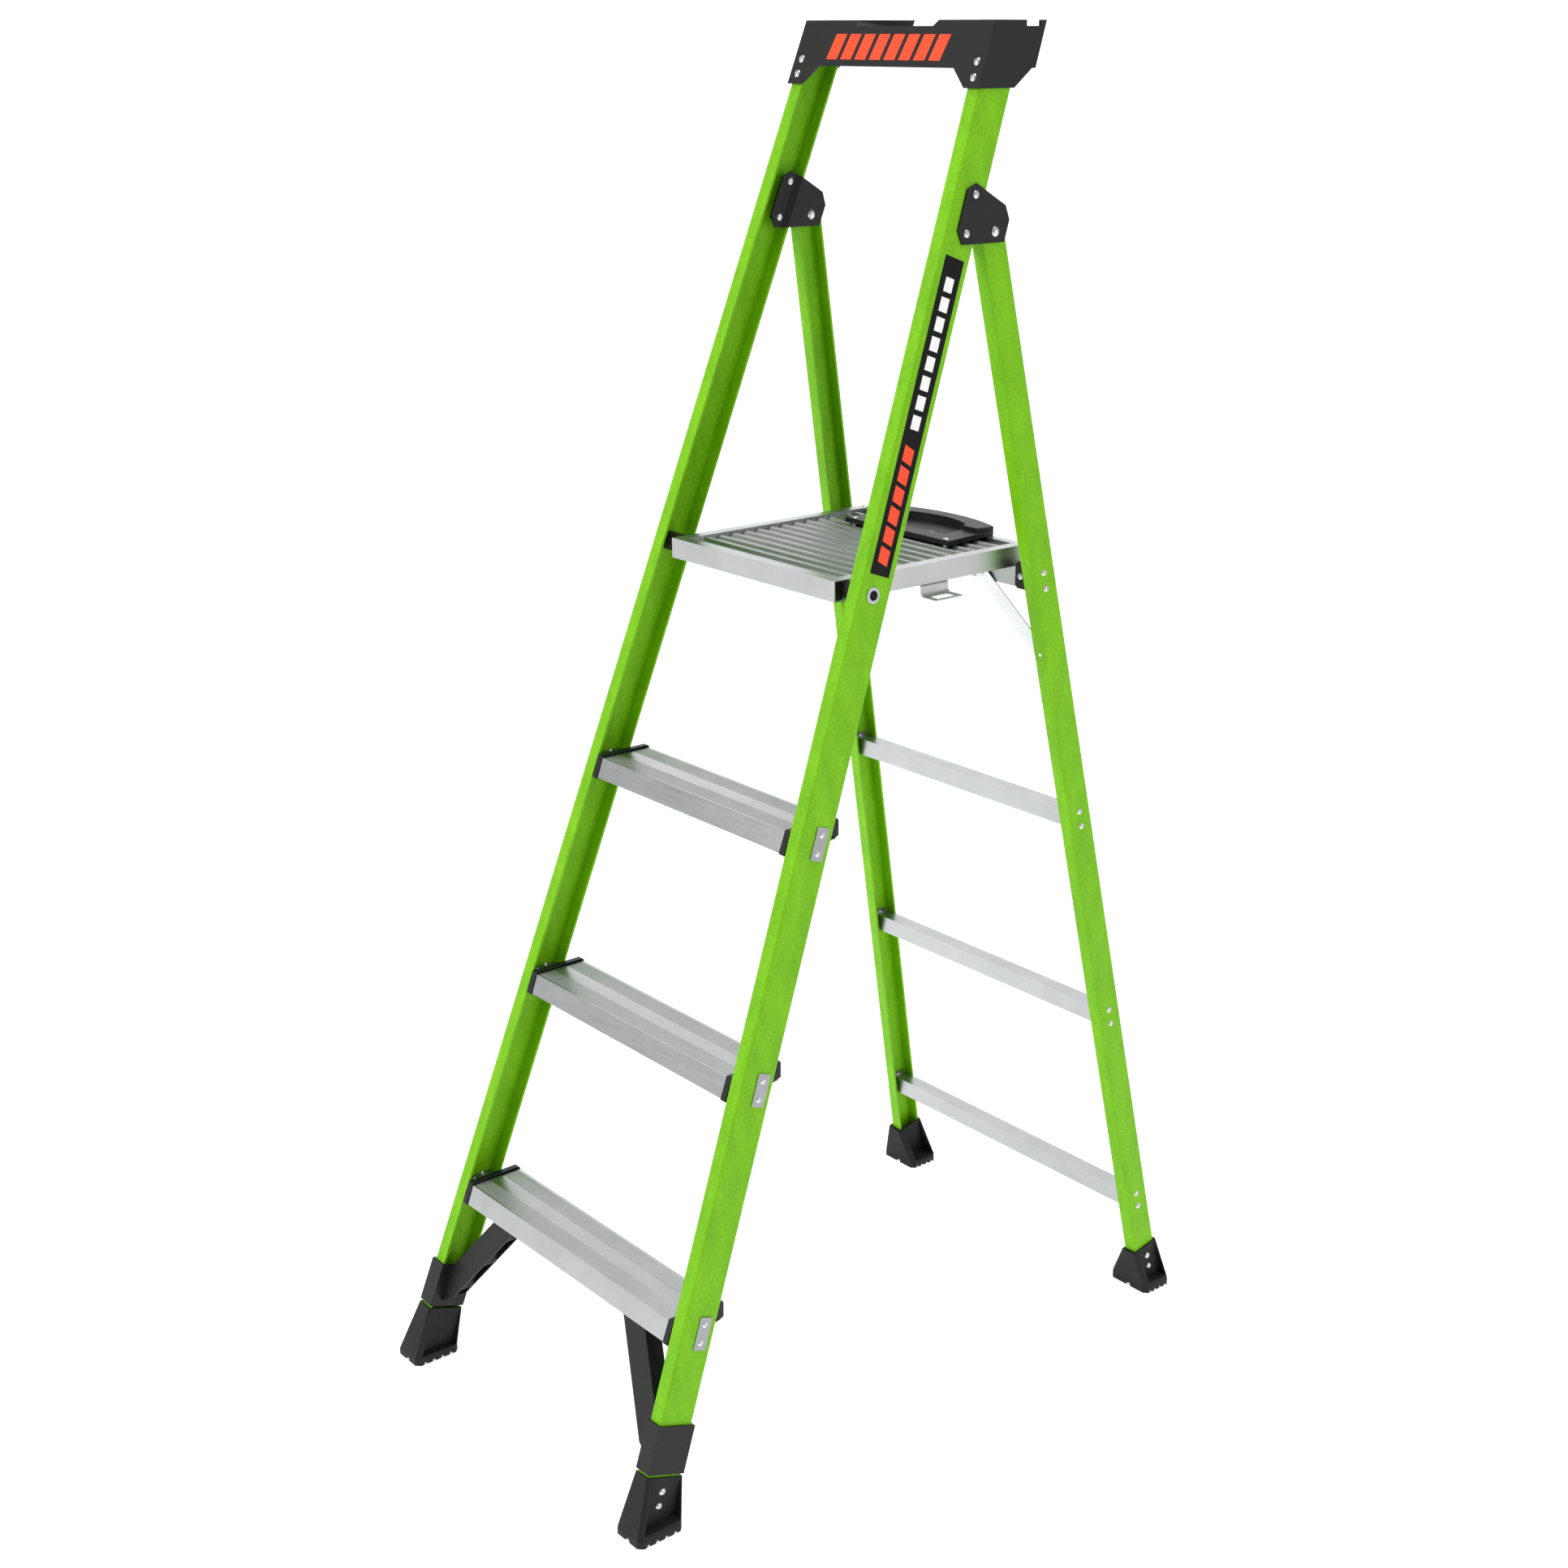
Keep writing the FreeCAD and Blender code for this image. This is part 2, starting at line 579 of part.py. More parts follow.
def rear_rail():
    """Rear rail: channel hung on the main hinge rivet, with holes for the rungs and boot."""
    body = new_body("rear_rail_blank", REAR_RAIL)
    section = new_sketch(body, "XY_Plane", "RearSection", Z["rear_foot_gap"])
    channel(section, Z["rear_depth"], Z["rear_flange"], Z["rear_wall"])
    top = rear_hinge_along + num("rear_head")
    blank = pad(body, section, top - Z["rear_foot_gap"])
    round_outer_corners(body, blank, Z["rail_corner"])
    web_holes = new_sketch(body, "YZ_Plane", "RearWebHoles")
    for back, along in rung_rivet_spots + rear_foot_rivet_spots:
        hole(web_holes, back, along, Z["rivet_shank"])
    pocket(body, web_holes, 4 * Z["rear_wall"])
    flange_hole = new_sketch(body, "XZ_Plane", "RearFlangeHole")
    hole(flange_hole, strap_pin.x, strap_pin.z, Z["rivet_shank"])
    pocket(body, flange_hole, 4 * Z["rear_wall"])
    bore = doc.addObject("Part::Cylinder", "HingeBore")
    bore.setExpression("Radius", (Z["pivot_radius"] + Z["running_gap"]).text)
    bore.Height = 400
    bore.Placement = Placement(HINGE, Rotation(BACK, 90))
    rail = doc.addObject("Part::Cut", "rear_rail_right")
    rail.Base = body
    rail.Tool = bore
    rail.Label = "rear_rail_right"
    doc.recompute()
    return rail


pair(front_rail(), "front_rail")
pair(rear_rail(), "rear_rail")


# ---------------------------------------------------------------- treads

def tread(number, height):
    """Tread: an extrusion open below, its face parallel to the rails, with two grip bands."""
    face = rail_face(height) + num("tread_setback")
    body = new_body(f"tread_{number}", HOME * Placement(Vector(0, face, float(height)), Rotation()))
    lean = Z["front_slope"]
    wall = Z["tread_wall"]
    high = Z["tread_height"]
    deep = Z["tread_depth"]
    lip = 9.0
    skew = wall * lean
    profile = new_sketch(body, "YZ_Plane", f"Tread{number}Profile")
    outline(profile, [
        (0, 0), (-lean * high, -high), (lip - lean * high, -high),
        (lip - lean * (high - wall), wall - high), (wall - lean * (high - wall), wall - high),
        (wall - skew, -wall), (deep - wall, -wall), (deep - wall, wall - high),
        (deep - lip, wall - high), (deep - lip, -high), (deep, -high), (deep, 0)])
    half = web_half(height) - Z["tread_end_gap"]
    pad(body, profile, 2 * half, midplane=True)
    for name, start, count in (("Front", 3.5, 10), ("Rear", 48.0, 10)):
        groove = new_sketch(body, "YZ_Plane", f"Tread{number}{name}Groove")
        deepest = Z["groove_depth"]
        wide = 0.7
        outline(groove, [(start - wide, 1), (start - wide, 0), (start, -deepest),
                         (start + wide, 0), (start + wide, 1)])
        cut = body.newObject("PartDesign::Pocket", f"Tread{number}{name}Cut")
        cut.Profile = groove
        cut.Midplane = True
        cut.Type = "ThroughAll"
        rows = body.newObject("PartDesign::LinearPattern", f"Tread{number}{name}Rows")
        rows.Originals = [cut]
        rows.Direction = (plane_of(body, "Y_Axis"), [""])
        rows.Length = num("groove_pitch") * (count - 1)
        rows.setExpression("Length", (Z["groove_pitch"] * (count - 1)).text)
        rows.Occurrences = count
        body.Tip = rows
        doc.recompute()
    return body


def tread_cap_outline(grow):
    """Side outline of a tread cap: the tread's own outline grown by a rim."""
    lean = Z["front_slope"]
    high = Z["tread_height"]
    deep = Z["tread_depth"]
    low = high + grow
    return [(-grow * 0.5 + lean * grow, grow), (-grow * 0.5 - lean * (low - 2.0), 2.0 - low),
            (2.5 - lean * low, -low), (deep * 0.62, -low), (deep + grow, -low * 0.72),
            (deep + grow, grow - 2.5), (deep + grow - 2.5, grow)]


def tread_cap(number, height):
    """Tread cap: a moulded rim around the tread's end with a thin wall beyond it."""
    face = rail_face(height) + num("tread_setback")
    body = new_body(f"tread_cap_{number}_right",
                    HOME * Placement(Vector(0, face, float(height)), Rotation()))
    inner_edge = web_half(height) - Z["cap_reach"]
    outer_edge = web_half(height + Z["cap_rim"]) - Z["cap_seat"]
    rim = new_sketch(body, "YZ_Plane", f"Cap{number}Rim", inner_edge)
    outline(rim, tread_cap_outline(Z["cap_rim"]))
    lean = Z["front_slope"]
    deep = Z["tread_depth"]
    high = Z["tread_height"]
    inset = 10.5
    roof = -Z["tread_wall"]
    outline(rim, [(inset, roof), (inset - lean * high, 3.0 - high), (deep - inset, 3.0 - high),
                  (deep - inset, roof)])
    pad(body, rim, outer_edge - inner_edge)
    seat = new_sketch(body, "YZ_Plane", f"Cap{number}Seat", inner_edge)
    play = 0.15
    outline(seat, [(-play + lean * play, play), (-play - lean * (high + play), -high - play),
                   (deep + play, -high - play), (deep + play, play)])
    reach = Z["cap_reach"] - Z["tread_end_gap"] + 0.2
    pocket(body, seat, 2 * reach)
    return body


def step_bracket(height, spots):
    """Step bracket: a leg riveted to the rail's web and a ledge under the tread."""
    top = float(height) - num("tread_wall") - 0.1
    thick = num("bracket_thick")
    half = num("bracket_width") / 2
    seat = num("front_wall") + 0.05
    middle = sum(along for back, along in spots) / 2
    reach = num("plate_rivets") / 2 + 6.0
    leg = moved(block((-seat - thick, num("plate_back") - half, middle - reach),
                      (-seat, num("plate_back") + half, middle + reach + 30)), FRONT_RAIL)
    back = rail_face(height) + num("plate_back") / front_cos
    web = float(web_half(height)) - seat * stretch
    ledge = moved(block((float(web_half(height)) - num("bracket_reach"), back - half, top - thick),
                        (web + 1, back + half, top)), HOME)
    inside = moved(block((-100, -1000, -500), (-seat, 3000, 4000)), FRONT_SIDE)
    bracket = leg.common(moved(block((0, -500, 0), (1000, 1500, top)), HOME))
    bracket = bracket.fuse(ledge.common(inside))
    for depth, along in spots:
        bore = Part.makeCylinder(num("rivet_shank"), 60, Vector(-50, depth, along), ACROSS)
        tail_room = Part.makeCylinder(num("rivet_shank") * 1.5 + 0.4, 3.0,
                                      Vector(-seat - thick - 3.0, depth, along), ACROSS)
        bracket = bracket.cut([moved(bore, FRONT_RAIL), moved(tail_room, FRONT_RAIL)])
    return bracket


def step_plate_shape(along):
    """Outer step plate: a small flat plate on the web with two rivet holes."""
    wide = num("plate_width") / 2
    tall = num("plate_length") / 2
    plate = Part.makeBox(num("plate_thick"), 2 * wide, 2 * tall, Vector(0, -wide, -tall))
    plate = plate.makeFillet(2.0, [edge for edge in plate.Edges
                                   if abs(edge.tangentAt(edge.FirstParameter).x) > 0.99])
    for way in (-1, 1):
        plate = plate.cut(Part.makeCylinder(num("rivet_shank"), 10,
                                            Vector(-2, 0, way * num("plate_rivets") / 2), ACROSS))
    return moved(plate, on_side(FRONT_RAIL, num("plate_back"), along))


for count, height in enumerate(step_heights, start=1):
    keep(tread(count, height))
    pair(tread_cap(count, height), f"tread_cap_{count}")

brackets = [step_bracket(height, step_rivet_spots[2 * index:2 * index + 2])
            for index, height in enumerate(step_heights)]
keep(solid_piece("step_brackets", Part.makeCompound(brackets + [flipped(b) for b in brackets])))
plates = [step_plate_shape(along) for along in step_plate_spots]
keep(solid_piece("step_plates", Part.makeCompound(plates + [flipped(p) for p in plates])))
step_grip = num("plate_thick") + num("front_wall") + num("bracket_thick") + 0.2
rivets = [moved(rivet(Z["rivet_shank"], Z["rivet_head"] * 0.85, step_grip),
                on_side(FRONT_RAIL, back, along, num("plate_thick")))
          for back, along in step_rivet_spots]
keep(solid_piece("step_rivets", Part.makeCompound(rivets + [flipped(r) for r in rivets])))


# ---------------------------------------------------------------- knee braces

def knee_brace():
    """Knee brace: a sleeve around the rail's foot and a channel arm up to the lowest tread."""
    wall = num("sleeve_wall")
    play = 0.1
    low, high = num("sleeve_bottom"), num("sleeve_top")
    depth, flange = num("front_depth"), num("front_flange")
    sleeve = block((-flange - wall, -wall, low), (wall, depth + wall, high))
    sleeve = sleeve.cut(block((-flange - play, -play, low - 5), (play, depth + play, high + 5)))
    sleeve = moved(sleeve, FRONT_RAIL)
    height = num("first_step")
    top = height - num("tread_wall") - 0.1
    half = float(web_half(height))
    inner_top, outer_top = half - num("arm_inner_top"), half - num("arm_outer_top")
    joint_high, joint_low = num("arm_joint_high"), num("arm_joint_low")
    joint_x = float(web_half(110)) - (flange + wall) * stretch + 1.0
    front = rail_face(150) + num("arm_front")
    deep = num("arm_depth")
    lean = num("front_slope")
    corners = [(inner_top, top), (outer_top, top), (joint_x, joint_high), (joint_x, joint_low),
               (joint_x - 22.0, joint_low + 12.0)]
    wall = num("arm_wall")
    shoulder = [(outer_top - 1.45 * wall, top - wall), (joint_x - wall, joint_high - 1.5 * wall)]
    arm = slab(corners, -deep / 2, deep, BACK)
    trough = slab([(inner_top - 30, top - wall - 30), (inner_top - 2, top - wall)] + shoulder
                  + [(joint_x - wall, joint_low - 24.0), (joint_x - 80.0, joint_low - 24.0)],
                  -deep / 2 + wall, deep - 2 * wall, BACK)
    arm = arm.cut(trough)
    for share in (0.25, 0.5, 0.75):
        x = inner_top + (joint_x - inner_top) * share
        z = top + (joint_low + 6.0 - top) * share
        rib = slab(corners, -deep / 2 + wall, deep - 2 * wall, BACK)
        rib = rib.common(block((x - 1.0, -deep, z - 60), (x + 1.0, deep, z + 90)))
        arm = arm.fuse(rib)
    pad_plate = block((inner_top - 12, -deep / 2 - 6, top - 3.0), (outer_top + 6, deep / 2 + 6, top))
    arm = arm.fuse(pad_plate)
    shear = FreeCAD.Matrix()
    shear.A23 = lean * stretch
    arm = arm.transformGeometry(shear)
    arm.translate(Vector(0, num("arm_front") + deep / 2, 0))
    arm = moved(arm, HOME)
    brace = sleeve.fuse(arm)
    socket = moved(block((-flange - play, -play, 0), (play, depth + play, 400)), FRONT_RAIL)
    return solid_piece("knee_brace_right", brace.cut(socket).removeSplitter())


pair(knee_brace(), "knee_brace")


# ---------------------------------------------------------------- boots

def boot(frame, side_frame, floor_y, sizes):
    """Boot: a flared block from a grooved sole up around the rail, with windows in both sides."""
    depth, flange, wall = sizes["depth"], sizes["flange"], num("foot_wall")
    top = sizes["top"]
    home = HOME.inverse()
    base = home * frame
    side_home = home * side_frame
    web_x = side_home.Base.x
    out_x, in_x = web_x + sizes["out"], web_x + sizes["out"] - sizes["width"]
    front_y = floor_y - sizes["ahead"]
    back_y = front_y + sizes["length"]
    sole_high = num("sole_height")
    chamfer = num("sole_chamfer")

    def ring(points):
        return Part.makePolygon(points + points[:1])

    def eight(x1, x2, y1, y2, cut, z):
        flat = [(x1 + cut, y1), (x2 - cut, y1), (x2, y1 + cut), (x2, y2 - cut),
                (x2 - cut, y2), (x1 + cut, y2), (x1, y2 - cut), (x1, y1 + cut)]
        return [Vector(x, y, z) for x, y in flat]
    lower = eight(in_x, out_x, front_y, back_y, chamfer, sole_high)
    upper = [base.multVec(p) for p in eight(-flange - wall, wall, -sizes["front_rim"],
                                            depth + wall, 2.0, top)]
    body = Part.makeLoft([ring(lower), ring(upper)], True, True)
    sole = Part.makeLoft([ring(eight(in_x, out_x, front_y, back_y, chamfer, 0.0)), ring(lower)],
                         True, True)
    notch = num("tread_notch")
    count = round(num("sole_grooves"))
    pitch = (back_y - front_y) / count
    for index in range(1, count):
        y = front_y + index * pitch
        groove = slab([(y - 3.2, -1), (y - 1.6, notch), (y + 1.6, notch), (y + 3.2, -1)],
                      in_x - 5, out_x - in_x + 10, ACROSS)
        sole = sole.cut(groove)
    middle = (in_x + out_x) / 2
    arch = slab([(middle - 5, -1), (middle - 3, notch + 1), (middle + 3, notch + 1),
                 (middle + 5, -1)], front_y - 5, back_y - front_y + 10, BACK)
    sole = sole.cut(arch)
    shell = body.fuse(sole)
    rim = num("window_rim")
    ledge = sole_high + num("window_ledge")
    for start, length in ((wall, 60.0), (-flange - wall, -60.0)):
        window = slab(sizes["window"](rim, ledge), start, length, ACROSS)
        shell = shell.cut(moved(window, side_home))
    gap = 0.1
    socket = block((-flange - gap, -gap, sizes["seat"]), (gap, depth + gap, top + 60))
    shell = shell.cut(moved(socket, base))
    for back, along in sizes["rivets"]:
        bore = Part.makeCylinder(num("rivet_shank"), 20, Vector(-8, back, along), ACROSS)
        shell = shell.cut(moved(bore, base))
    return moved(shell, HOME)


def front_window(rim, ledge):
    """(y, z) corners of the opening in a front boot's side, wider at the sole."""
    high = num("front_boot_top") * 1.3
    slope = num("front_slope")
    lead = num("front_depth") / front_cos
    length = num("front_sole_length") - num("front_sole_ahead")
    return [(rim + 2.0, ledge), (length - rim, ledge), (slope * high + lead - rim, high),
            (slope * high + rim, high)]


def rear_window(rim, ledge):
    """(y, z) corners of the opening in a rear boot's side."""
    high = num("rear_boot_top") * 1.3
    slope = num("rear_slope")
    lead = num("rear_depth") / rear_cos
    start = rear_floor_y - num("rear_sole_ahead")
    return [(start + rim + 4.0, ledge), (start + num("rear_sole_length") - rim, ledge),
            (rear_floor_y - slope * high + lead - rim * 0.6, high),
            (rear_floor_y - slope * high + rim, high)]


front_boot_sizes = {
    "depth": num("front_depth"), "flange": num("front_flange"), "top": num("front_boot_top"),
    "out": num("front_sole_out"), "width": num("front_sole_width"), "front_rim": 3.5,
    "ahead": num("front_sole_ahead"), "length": num("front_sole_length"),
    "seat": num("front_foot_gap") - 0.1, "rivets": foot_rivet_spots, "window": front_window}
rear_boot_sizes = {
    "depth": num("rear_depth"), "flange": num("rear_flange"), "top": num("rear_boot_top"),
    "out": num("rear_sole_out"), "width": num("rear_sole_width"), "front_rim": 5.5,
    "ahead": num("rear_sole_ahead"), "length": num("rear_sole_length"),
    "seat": num("rear_foot_gap") - 0.1, "rivets": rear_foot_rivet_spots, "window": rear_window}
pair(solid_piece("front_boot_right", boot(FRONT_RAIL, FRONT_SIDE, 0.0, front_boot_sizes)),
     "front_boot")
pair(solid_piece("rear_boot_right", boot(REAR_RAIL, REAR_SIDE, rear_floor_y, rear_boot_sizes)),
     "rear_boot")


def boot_rivets(label, frame, spots, wall):
    grip = num("foot_wall") + wall
    heads = [moved(rivet(Z["rivet_shank"], Z["rivet_head"], grip),
                   on_side(frame, back, along, num("foot_wall"))) for back, along in spots]
    keep(solid_piece(label, Part.makeCompound(heads + [flipped(h) for h in heads])))


boot_rivets("front_boot_rivets", FRONT_RAIL, foot_rivet_spots, num("front_wall"))
boot_rivets("rear_boot_rivets", REAR_RAIL, rear_foot_rivet_spots, num("rear_wall"))


# ---------------------------------------------------------------- main hinge

PLATE_CORNERS = [(-29.7, 56.9), (-44.8, 50.6), (-62.0, 3.5), (-55.3, -12.8), (14.4, -13.1),
                 (23.8, 12.6), (17.8, 29.7)]


def hinge_plate_outer():
    """Outer hinge plate: a flat seven-sided plate on the front rail's web."""
    body = new_body("hinge_plate_outer_right",
                    on_side(FRONT_SIDE, hinge_y, hinge_rise))
    face = new_sketch(body, "YZ_Plane", "OuterPlateFace", 0.02)
    outline(face, PLATE_CORNERS)
    for back, along in hinge_rivet_spots:
        y = back * front_cos + along * front_sin - hinge_y
        z = -back * front_sin + along * front_cos - hinge_rise
        hole(face, y, z, Z["rivet_shank"])
    hole(face, 0, 0, Z["pivot_radius"] + 0.25)
    pad(body, face, Z["outer_plate"])
    return body


def hinge_plate_inner():
    """Inner hinge plate: recessed beside the front web, joggled out over the rails' flanges."""
    thick = num("inner_plate")
    front_x = -num("inner_front")
    rear_x = -num("inner_rear")
    bend = num("front_depth") - num("front_wall") - 1.8
    start = bend - 6.0
    corners = [Vector(0, y, z) for y, z in PLATE_CORNERS]
    face = Part.Face(Part.makePolygon(corners + corners[:1]))
    column = moved(face.extrude(Vector(-60, 0, 0)), on_side(FRONT_SIDE, hinge_y, hinge_rise))
    section = [(front_x, -50), (front_x, start), (rear_x, bend), (rear_x, 160),
               (rear_x - thick, 160), (rear_x - thick, bend - 1), (front_x - thick, start - 1),
               (front_x - thick, -50)]
    sheet = moved(slab(section, hinge_along - 150, 300, UP), FRONT_RAIL)
    plate = sheet.common(column)
    for back, along in hinge_rivet_spots:
        bore = Part.makeCylinder(num("rivet_shank"), 60, Vector(-50, back, along), ACROSS)
        plate = plate.cut(moved(bore, FRONT_RAIL))
    centre = Vector(0, HINGE.y, HINGE.z)
    bore = num("pivot_radius") + 3 * num("running_gap")
    return plate.cut(Part.makeCylinder(bore, 400, centre, ACROSS))


def tube(outer, inner, start, length, centre, axis=ACROSS):
    """A plain sleeve along X from a start."""
    base = Vector(float(start), centre.y, centre.z)
    ring = Part.makeCylinder(float(outer), float(length), base, axis)
    return ring.cut(Part.makeCylinder(float(inner), float(length), base, axis))


def hinge_spacers():
    """Spacer sleeves between the front web and the inner plate."""
    length = num("inner_front") - num("front_wall")
    spacers = []
    for back, along in hinge_rivet_spots:
        start = Vector(-num("inner_front") + 0.02, back, along)
        sleeve = Part.makeCylinder(num("spacer_radius"), length - 0.04, start, ACROSS)
        bore = Part.makeCylinder(num("rivet_shank") + num("running_gap"), 60,
                                 Vector(-50, back, along), ACROSS)
        spacers.append(moved(sleeve.cut(bore), FRONT_RAIL))
    return spacers


def hinge_rivets():
    """Front rivets of the hinge plates, right through from plate to plate."""
    grip = num("outer_plate") + num("inner_front") + num("inner_plate")
    return [moved(rivet(Z["rivet_shank"], Z["rivet_head"], grip + 0.05, num("rivet_head")),
                  on_side(FRONT_RAIL, back, along, num("outer_plate") + 0.02))
            for back, along in hinge_rivet_spots]


def pivot_rivet():
    """Main hinge rivet: its shank lies along X and its heads sit flat on the plates."""
    site = on_side(FRONT_SIDE, hinge_y, hinge_rise)
    radius = num("pivot_radius")
    head = num("pivot_head")
    outer = site.multVec(Vector(num("outer_plate"), 0, 0)).x
    inner = site.multVec(Vector(-num("inner_rear") - num("inner_plate"), 0, 0)).x
    shank = Part.makeCylinder(radius, outer - inner, Vector(inner, HINGE.y, HINGE.z), ACROSS)
    dome = rivet(radius - 1.0, head, 0.6, radius - 1.0)
    out = num("outer_plate") + 0.03
    into = num("inner_rear") + num("inner_plate") + 0.03
    rise = num("splay_slope")
    outside = moved(dome, site * Placement(Vector(out, 0, -out * rise), Rotation()))
    inside = moved(dome, site * Placement(Vector(-into, 0, into * rise), Rotation(UP, 180)))
    return shank.fuse([outside, inside])


pair(hinge_plate_outer(), "hinge_plate_outer")
pair(solid_piece("hinge_plate_inner_right", hinge_plate_inner()), "hinge_plate_inner")
spacers = hinge_spacers()
hinge_web_x = float(web_half(num("hinge_height"))) - num("rear_inset") - num("rear_wall")
inner_plate_x = float(web_half(num("hinge_height"))) - num("inner_rear") * stretch
spacers.append(tube(num("pivot_spacer_radius"), num("pivot_radius") + num("running_gap"),
                    inner_plate_x + 0.6, hinge_web_x - 1.2 - inner_plate_x, HINGE))
keep(solid_piece("hinge_spacers", Part.makeCompound(spacers + [flipped(s) for s in spacers])))
rivets = hinge_rivets()
keep(solid_piece("hinge_rivets", Part.makeCompound(rivets + [flipped(r) for r in rivets])))
pin = pivot_rivet()
keep(solid_piece("main_hinge_pins", Part.makeCompound([pin, flipped(pin)])))


# ---------------------------------------------------------------- rear cross members

def cross_member(label, height, deep, high, wall, setback):
    """A cross member open at the rear, between the webs of the rear rails."""
    body = new_body(label, HOME * Placement(
        Vector(0, rear_face(height) + setback, float(height)), Rotation()))
    half_high = high / 2
    profile = new_sketch(body, "YZ_Plane", label + "Profile")
    lip = wall * 3
    outline(profile, [(0, -half_high), (deep, -half_high), (deep, lip - half_high),
                      (deep - wall, lip - half_high), (deep - wall, wall - half_high),
                      (wall, wall - half_high), (wall, half_high - wall),
                      (deep - wall, half_high - wall), (deep - wall, half_high - lip),
                      (deep, half_high - lip), (deep, half_high), (0, half_high)])
    reach = rear_half(height + half_high) - Z["rear_wall"] - Z["member_end_gap"]
    pad(body, profile, 2 * reach, midplane=True)
    return body


rung_setback = (num("rear_depth") / rear_cos - num("rung_depth")) / 2
for count, height in enumerate(rung_heights, start=1):
    keep(cross_member(f"rear_rung_{count}", height, Z["rung_depth"], Z["rung_height"],
                      Z["rung_wall"], rung_setback))
crossbar = cross_member("rear_crossbar", crossbar_middle, Z["crossbar_depth"],
                        Z["crossbar_height"], Z["crossbar_wall"], crossbar_setback)
face_holes = new_sketch(crossbar, "XZ_Plane", "CrossbarFaceHoles")
strap_rivet_climb = num("rear_slope") * (num("strap_thick") + num("crossbar_wall") / 2)
for side in (-1, 1):
    hole(face_holes, side * face_rivet_x, face_rivet_z - crossbar_middle, Z["rivet_shank"])
    hole(face_holes, side * strap_top_x, strap_top_z + strap_rivet_climb - crossbar_middle,
         Z["rivet_shank"] + 0.7)
pocket(crossbar, face_holes, 4 * Z["crossbar_wall"])
keep(crossbar)


def rear_bores(shape, spots):
    """Rivet holes square to a rear rail's web."""
    for back, along in spots:
        bore = Part.makeCylinder(num("rivet_shank"), 60, Vector(-50, back, along), ACROSS)
        shape = shape.cut(moved(bore, HOME.inverse() * REAR_RAIL))
    return shape


def rung_bracket(height, spots):
    """Rung bracket: a leg riveted to the rail's web and a tongue inside the rung's face."""
    thick = num("shoe_thick")
    seat = num("rear_wall") + 0.05
    face = rear_face(height) + rung_setback + num("rung_wall") + 0.05
    tall = num("rung_rivets") / 2 + 6.0
    top, low = float(height) + tall, float(height) - tall
    leg = slab([(rear_web_x(top, seat), top), (rear_web_x(low, seat), low),
                (rear_web_x(low, seat + thick), low), (rear_web_x(top, seat + thick), top)],
               face, 17.5, BACK)
    inside = num("rung_height") / 2 - num("rung_wall") - 0.1
    high, bottom = float(height) + inside, float(height) - inside
    end = rear_web_x(height) - num("rear_wall") - num("member_end_gap") - num("shoe_reach")
    tongue = slab([(rear_web_x(high, seat), high), (rear_web_x(bottom, seat), bottom),
                   (end, bottom), (end, high)], face, thick, BACK)
    return moved(rear_bores(leg.fuse(tongue), spots), HOME)


rung_brackets = [rung_bracket(height, rung_rivet_spots[2 * index:2 * index + 2])
                 for index, height in enumerate(rung_heights)]
keep(solid_piece("rung_brackets", Part.makeCompound(
    rung_brackets + [flipped(b) for b in rung_brackets])))


def web_rivets(spots, wall, head):
    """Rivets from outside a rear rail's web through a wall behind it."""
    return [moved(rivet(Z["rivet_shank"], head, num("rear_wall") + wall + 0.1),
                  on_side(REAR_RAIL, back, along)) for back, along in spots]


rivets = web_rivets(rung_rivet_spots[:6], num("shoe_thick"), num("rivet_head") * 0.9)
keep(solid_piece("rung_rivets", Part.makeCompound(rivets + [flipped(r) for r in rivets])))


def crossbar_bracket():
    """Crossbar bracket: a leg on the rail's web and a plate over the crossbar's face."""
    thick = num("crossbar_plate")
    seat = num("rear_wall") + 0.05
    top = float(crossbar_middle) + 20.5
    low = float(crossbar_middle) - num("crossbar_height") / 2 - 1.0
    leg = slab([(rear_web_x(top, seat), top), (rear_web_x(low, seat), low),
                (rear_web_x(low, seat + thick), low), (rear_web_x(top, seat + thick), top)],
               bracket_face, 26.0, BACK)
    edge = rear_web_x(crossbar_middle) - num("crossbar_plate_reach")
    plate = slab([(rear_web_x(top, seat), top), (rear_web_x(low, seat), low), (edge + 4, low),
                  (edge, low + 4), (edge, top - 4), (edge + 4, top)], bracket_face, thick, BACK)
    bracket = rear_bores(leg.fuse(plate), rung_rivet_spots[6:])
    bore = Part.makeCylinder(num("rivet_shank"), 20, Vector(face_rivet_x, bracket_face - 5,
                                                            face_rivet_z), BACK)
    return moved(bracket.cut(bore), HOME)


def facing_rivet(x, y, z, grip, head=None, tail=None):
    """A rivet along Y with its head to the front."""
    turned = Placement(Vector(float(x), float(y), float(z)), Rotation(UP, -90))
    head = num("rivet_head") * 0.9 if head is None else head
    return moved(rivet(Z["rivet_shank"], head, grip, tail), HOME * turned)


pair(solid_piece("crossbar_bracket_right", crossbar_bracket()), "crossbar_bracket")
rivets = web_rivets(rung_rivet_spots[6:], num("crossbar_plate"), num("rivet_head") * 0.9)
rivets.append(facing_rivet(face_rivet_x, bracket_face, face_rivet_z,
                           num("crossbar_plate") + num("crossbar_wall") + 0.1))
keep(solid_piece("crossbar_rivets", Part.makeCompound(rivets + [flipped(r) for r in rivets])))


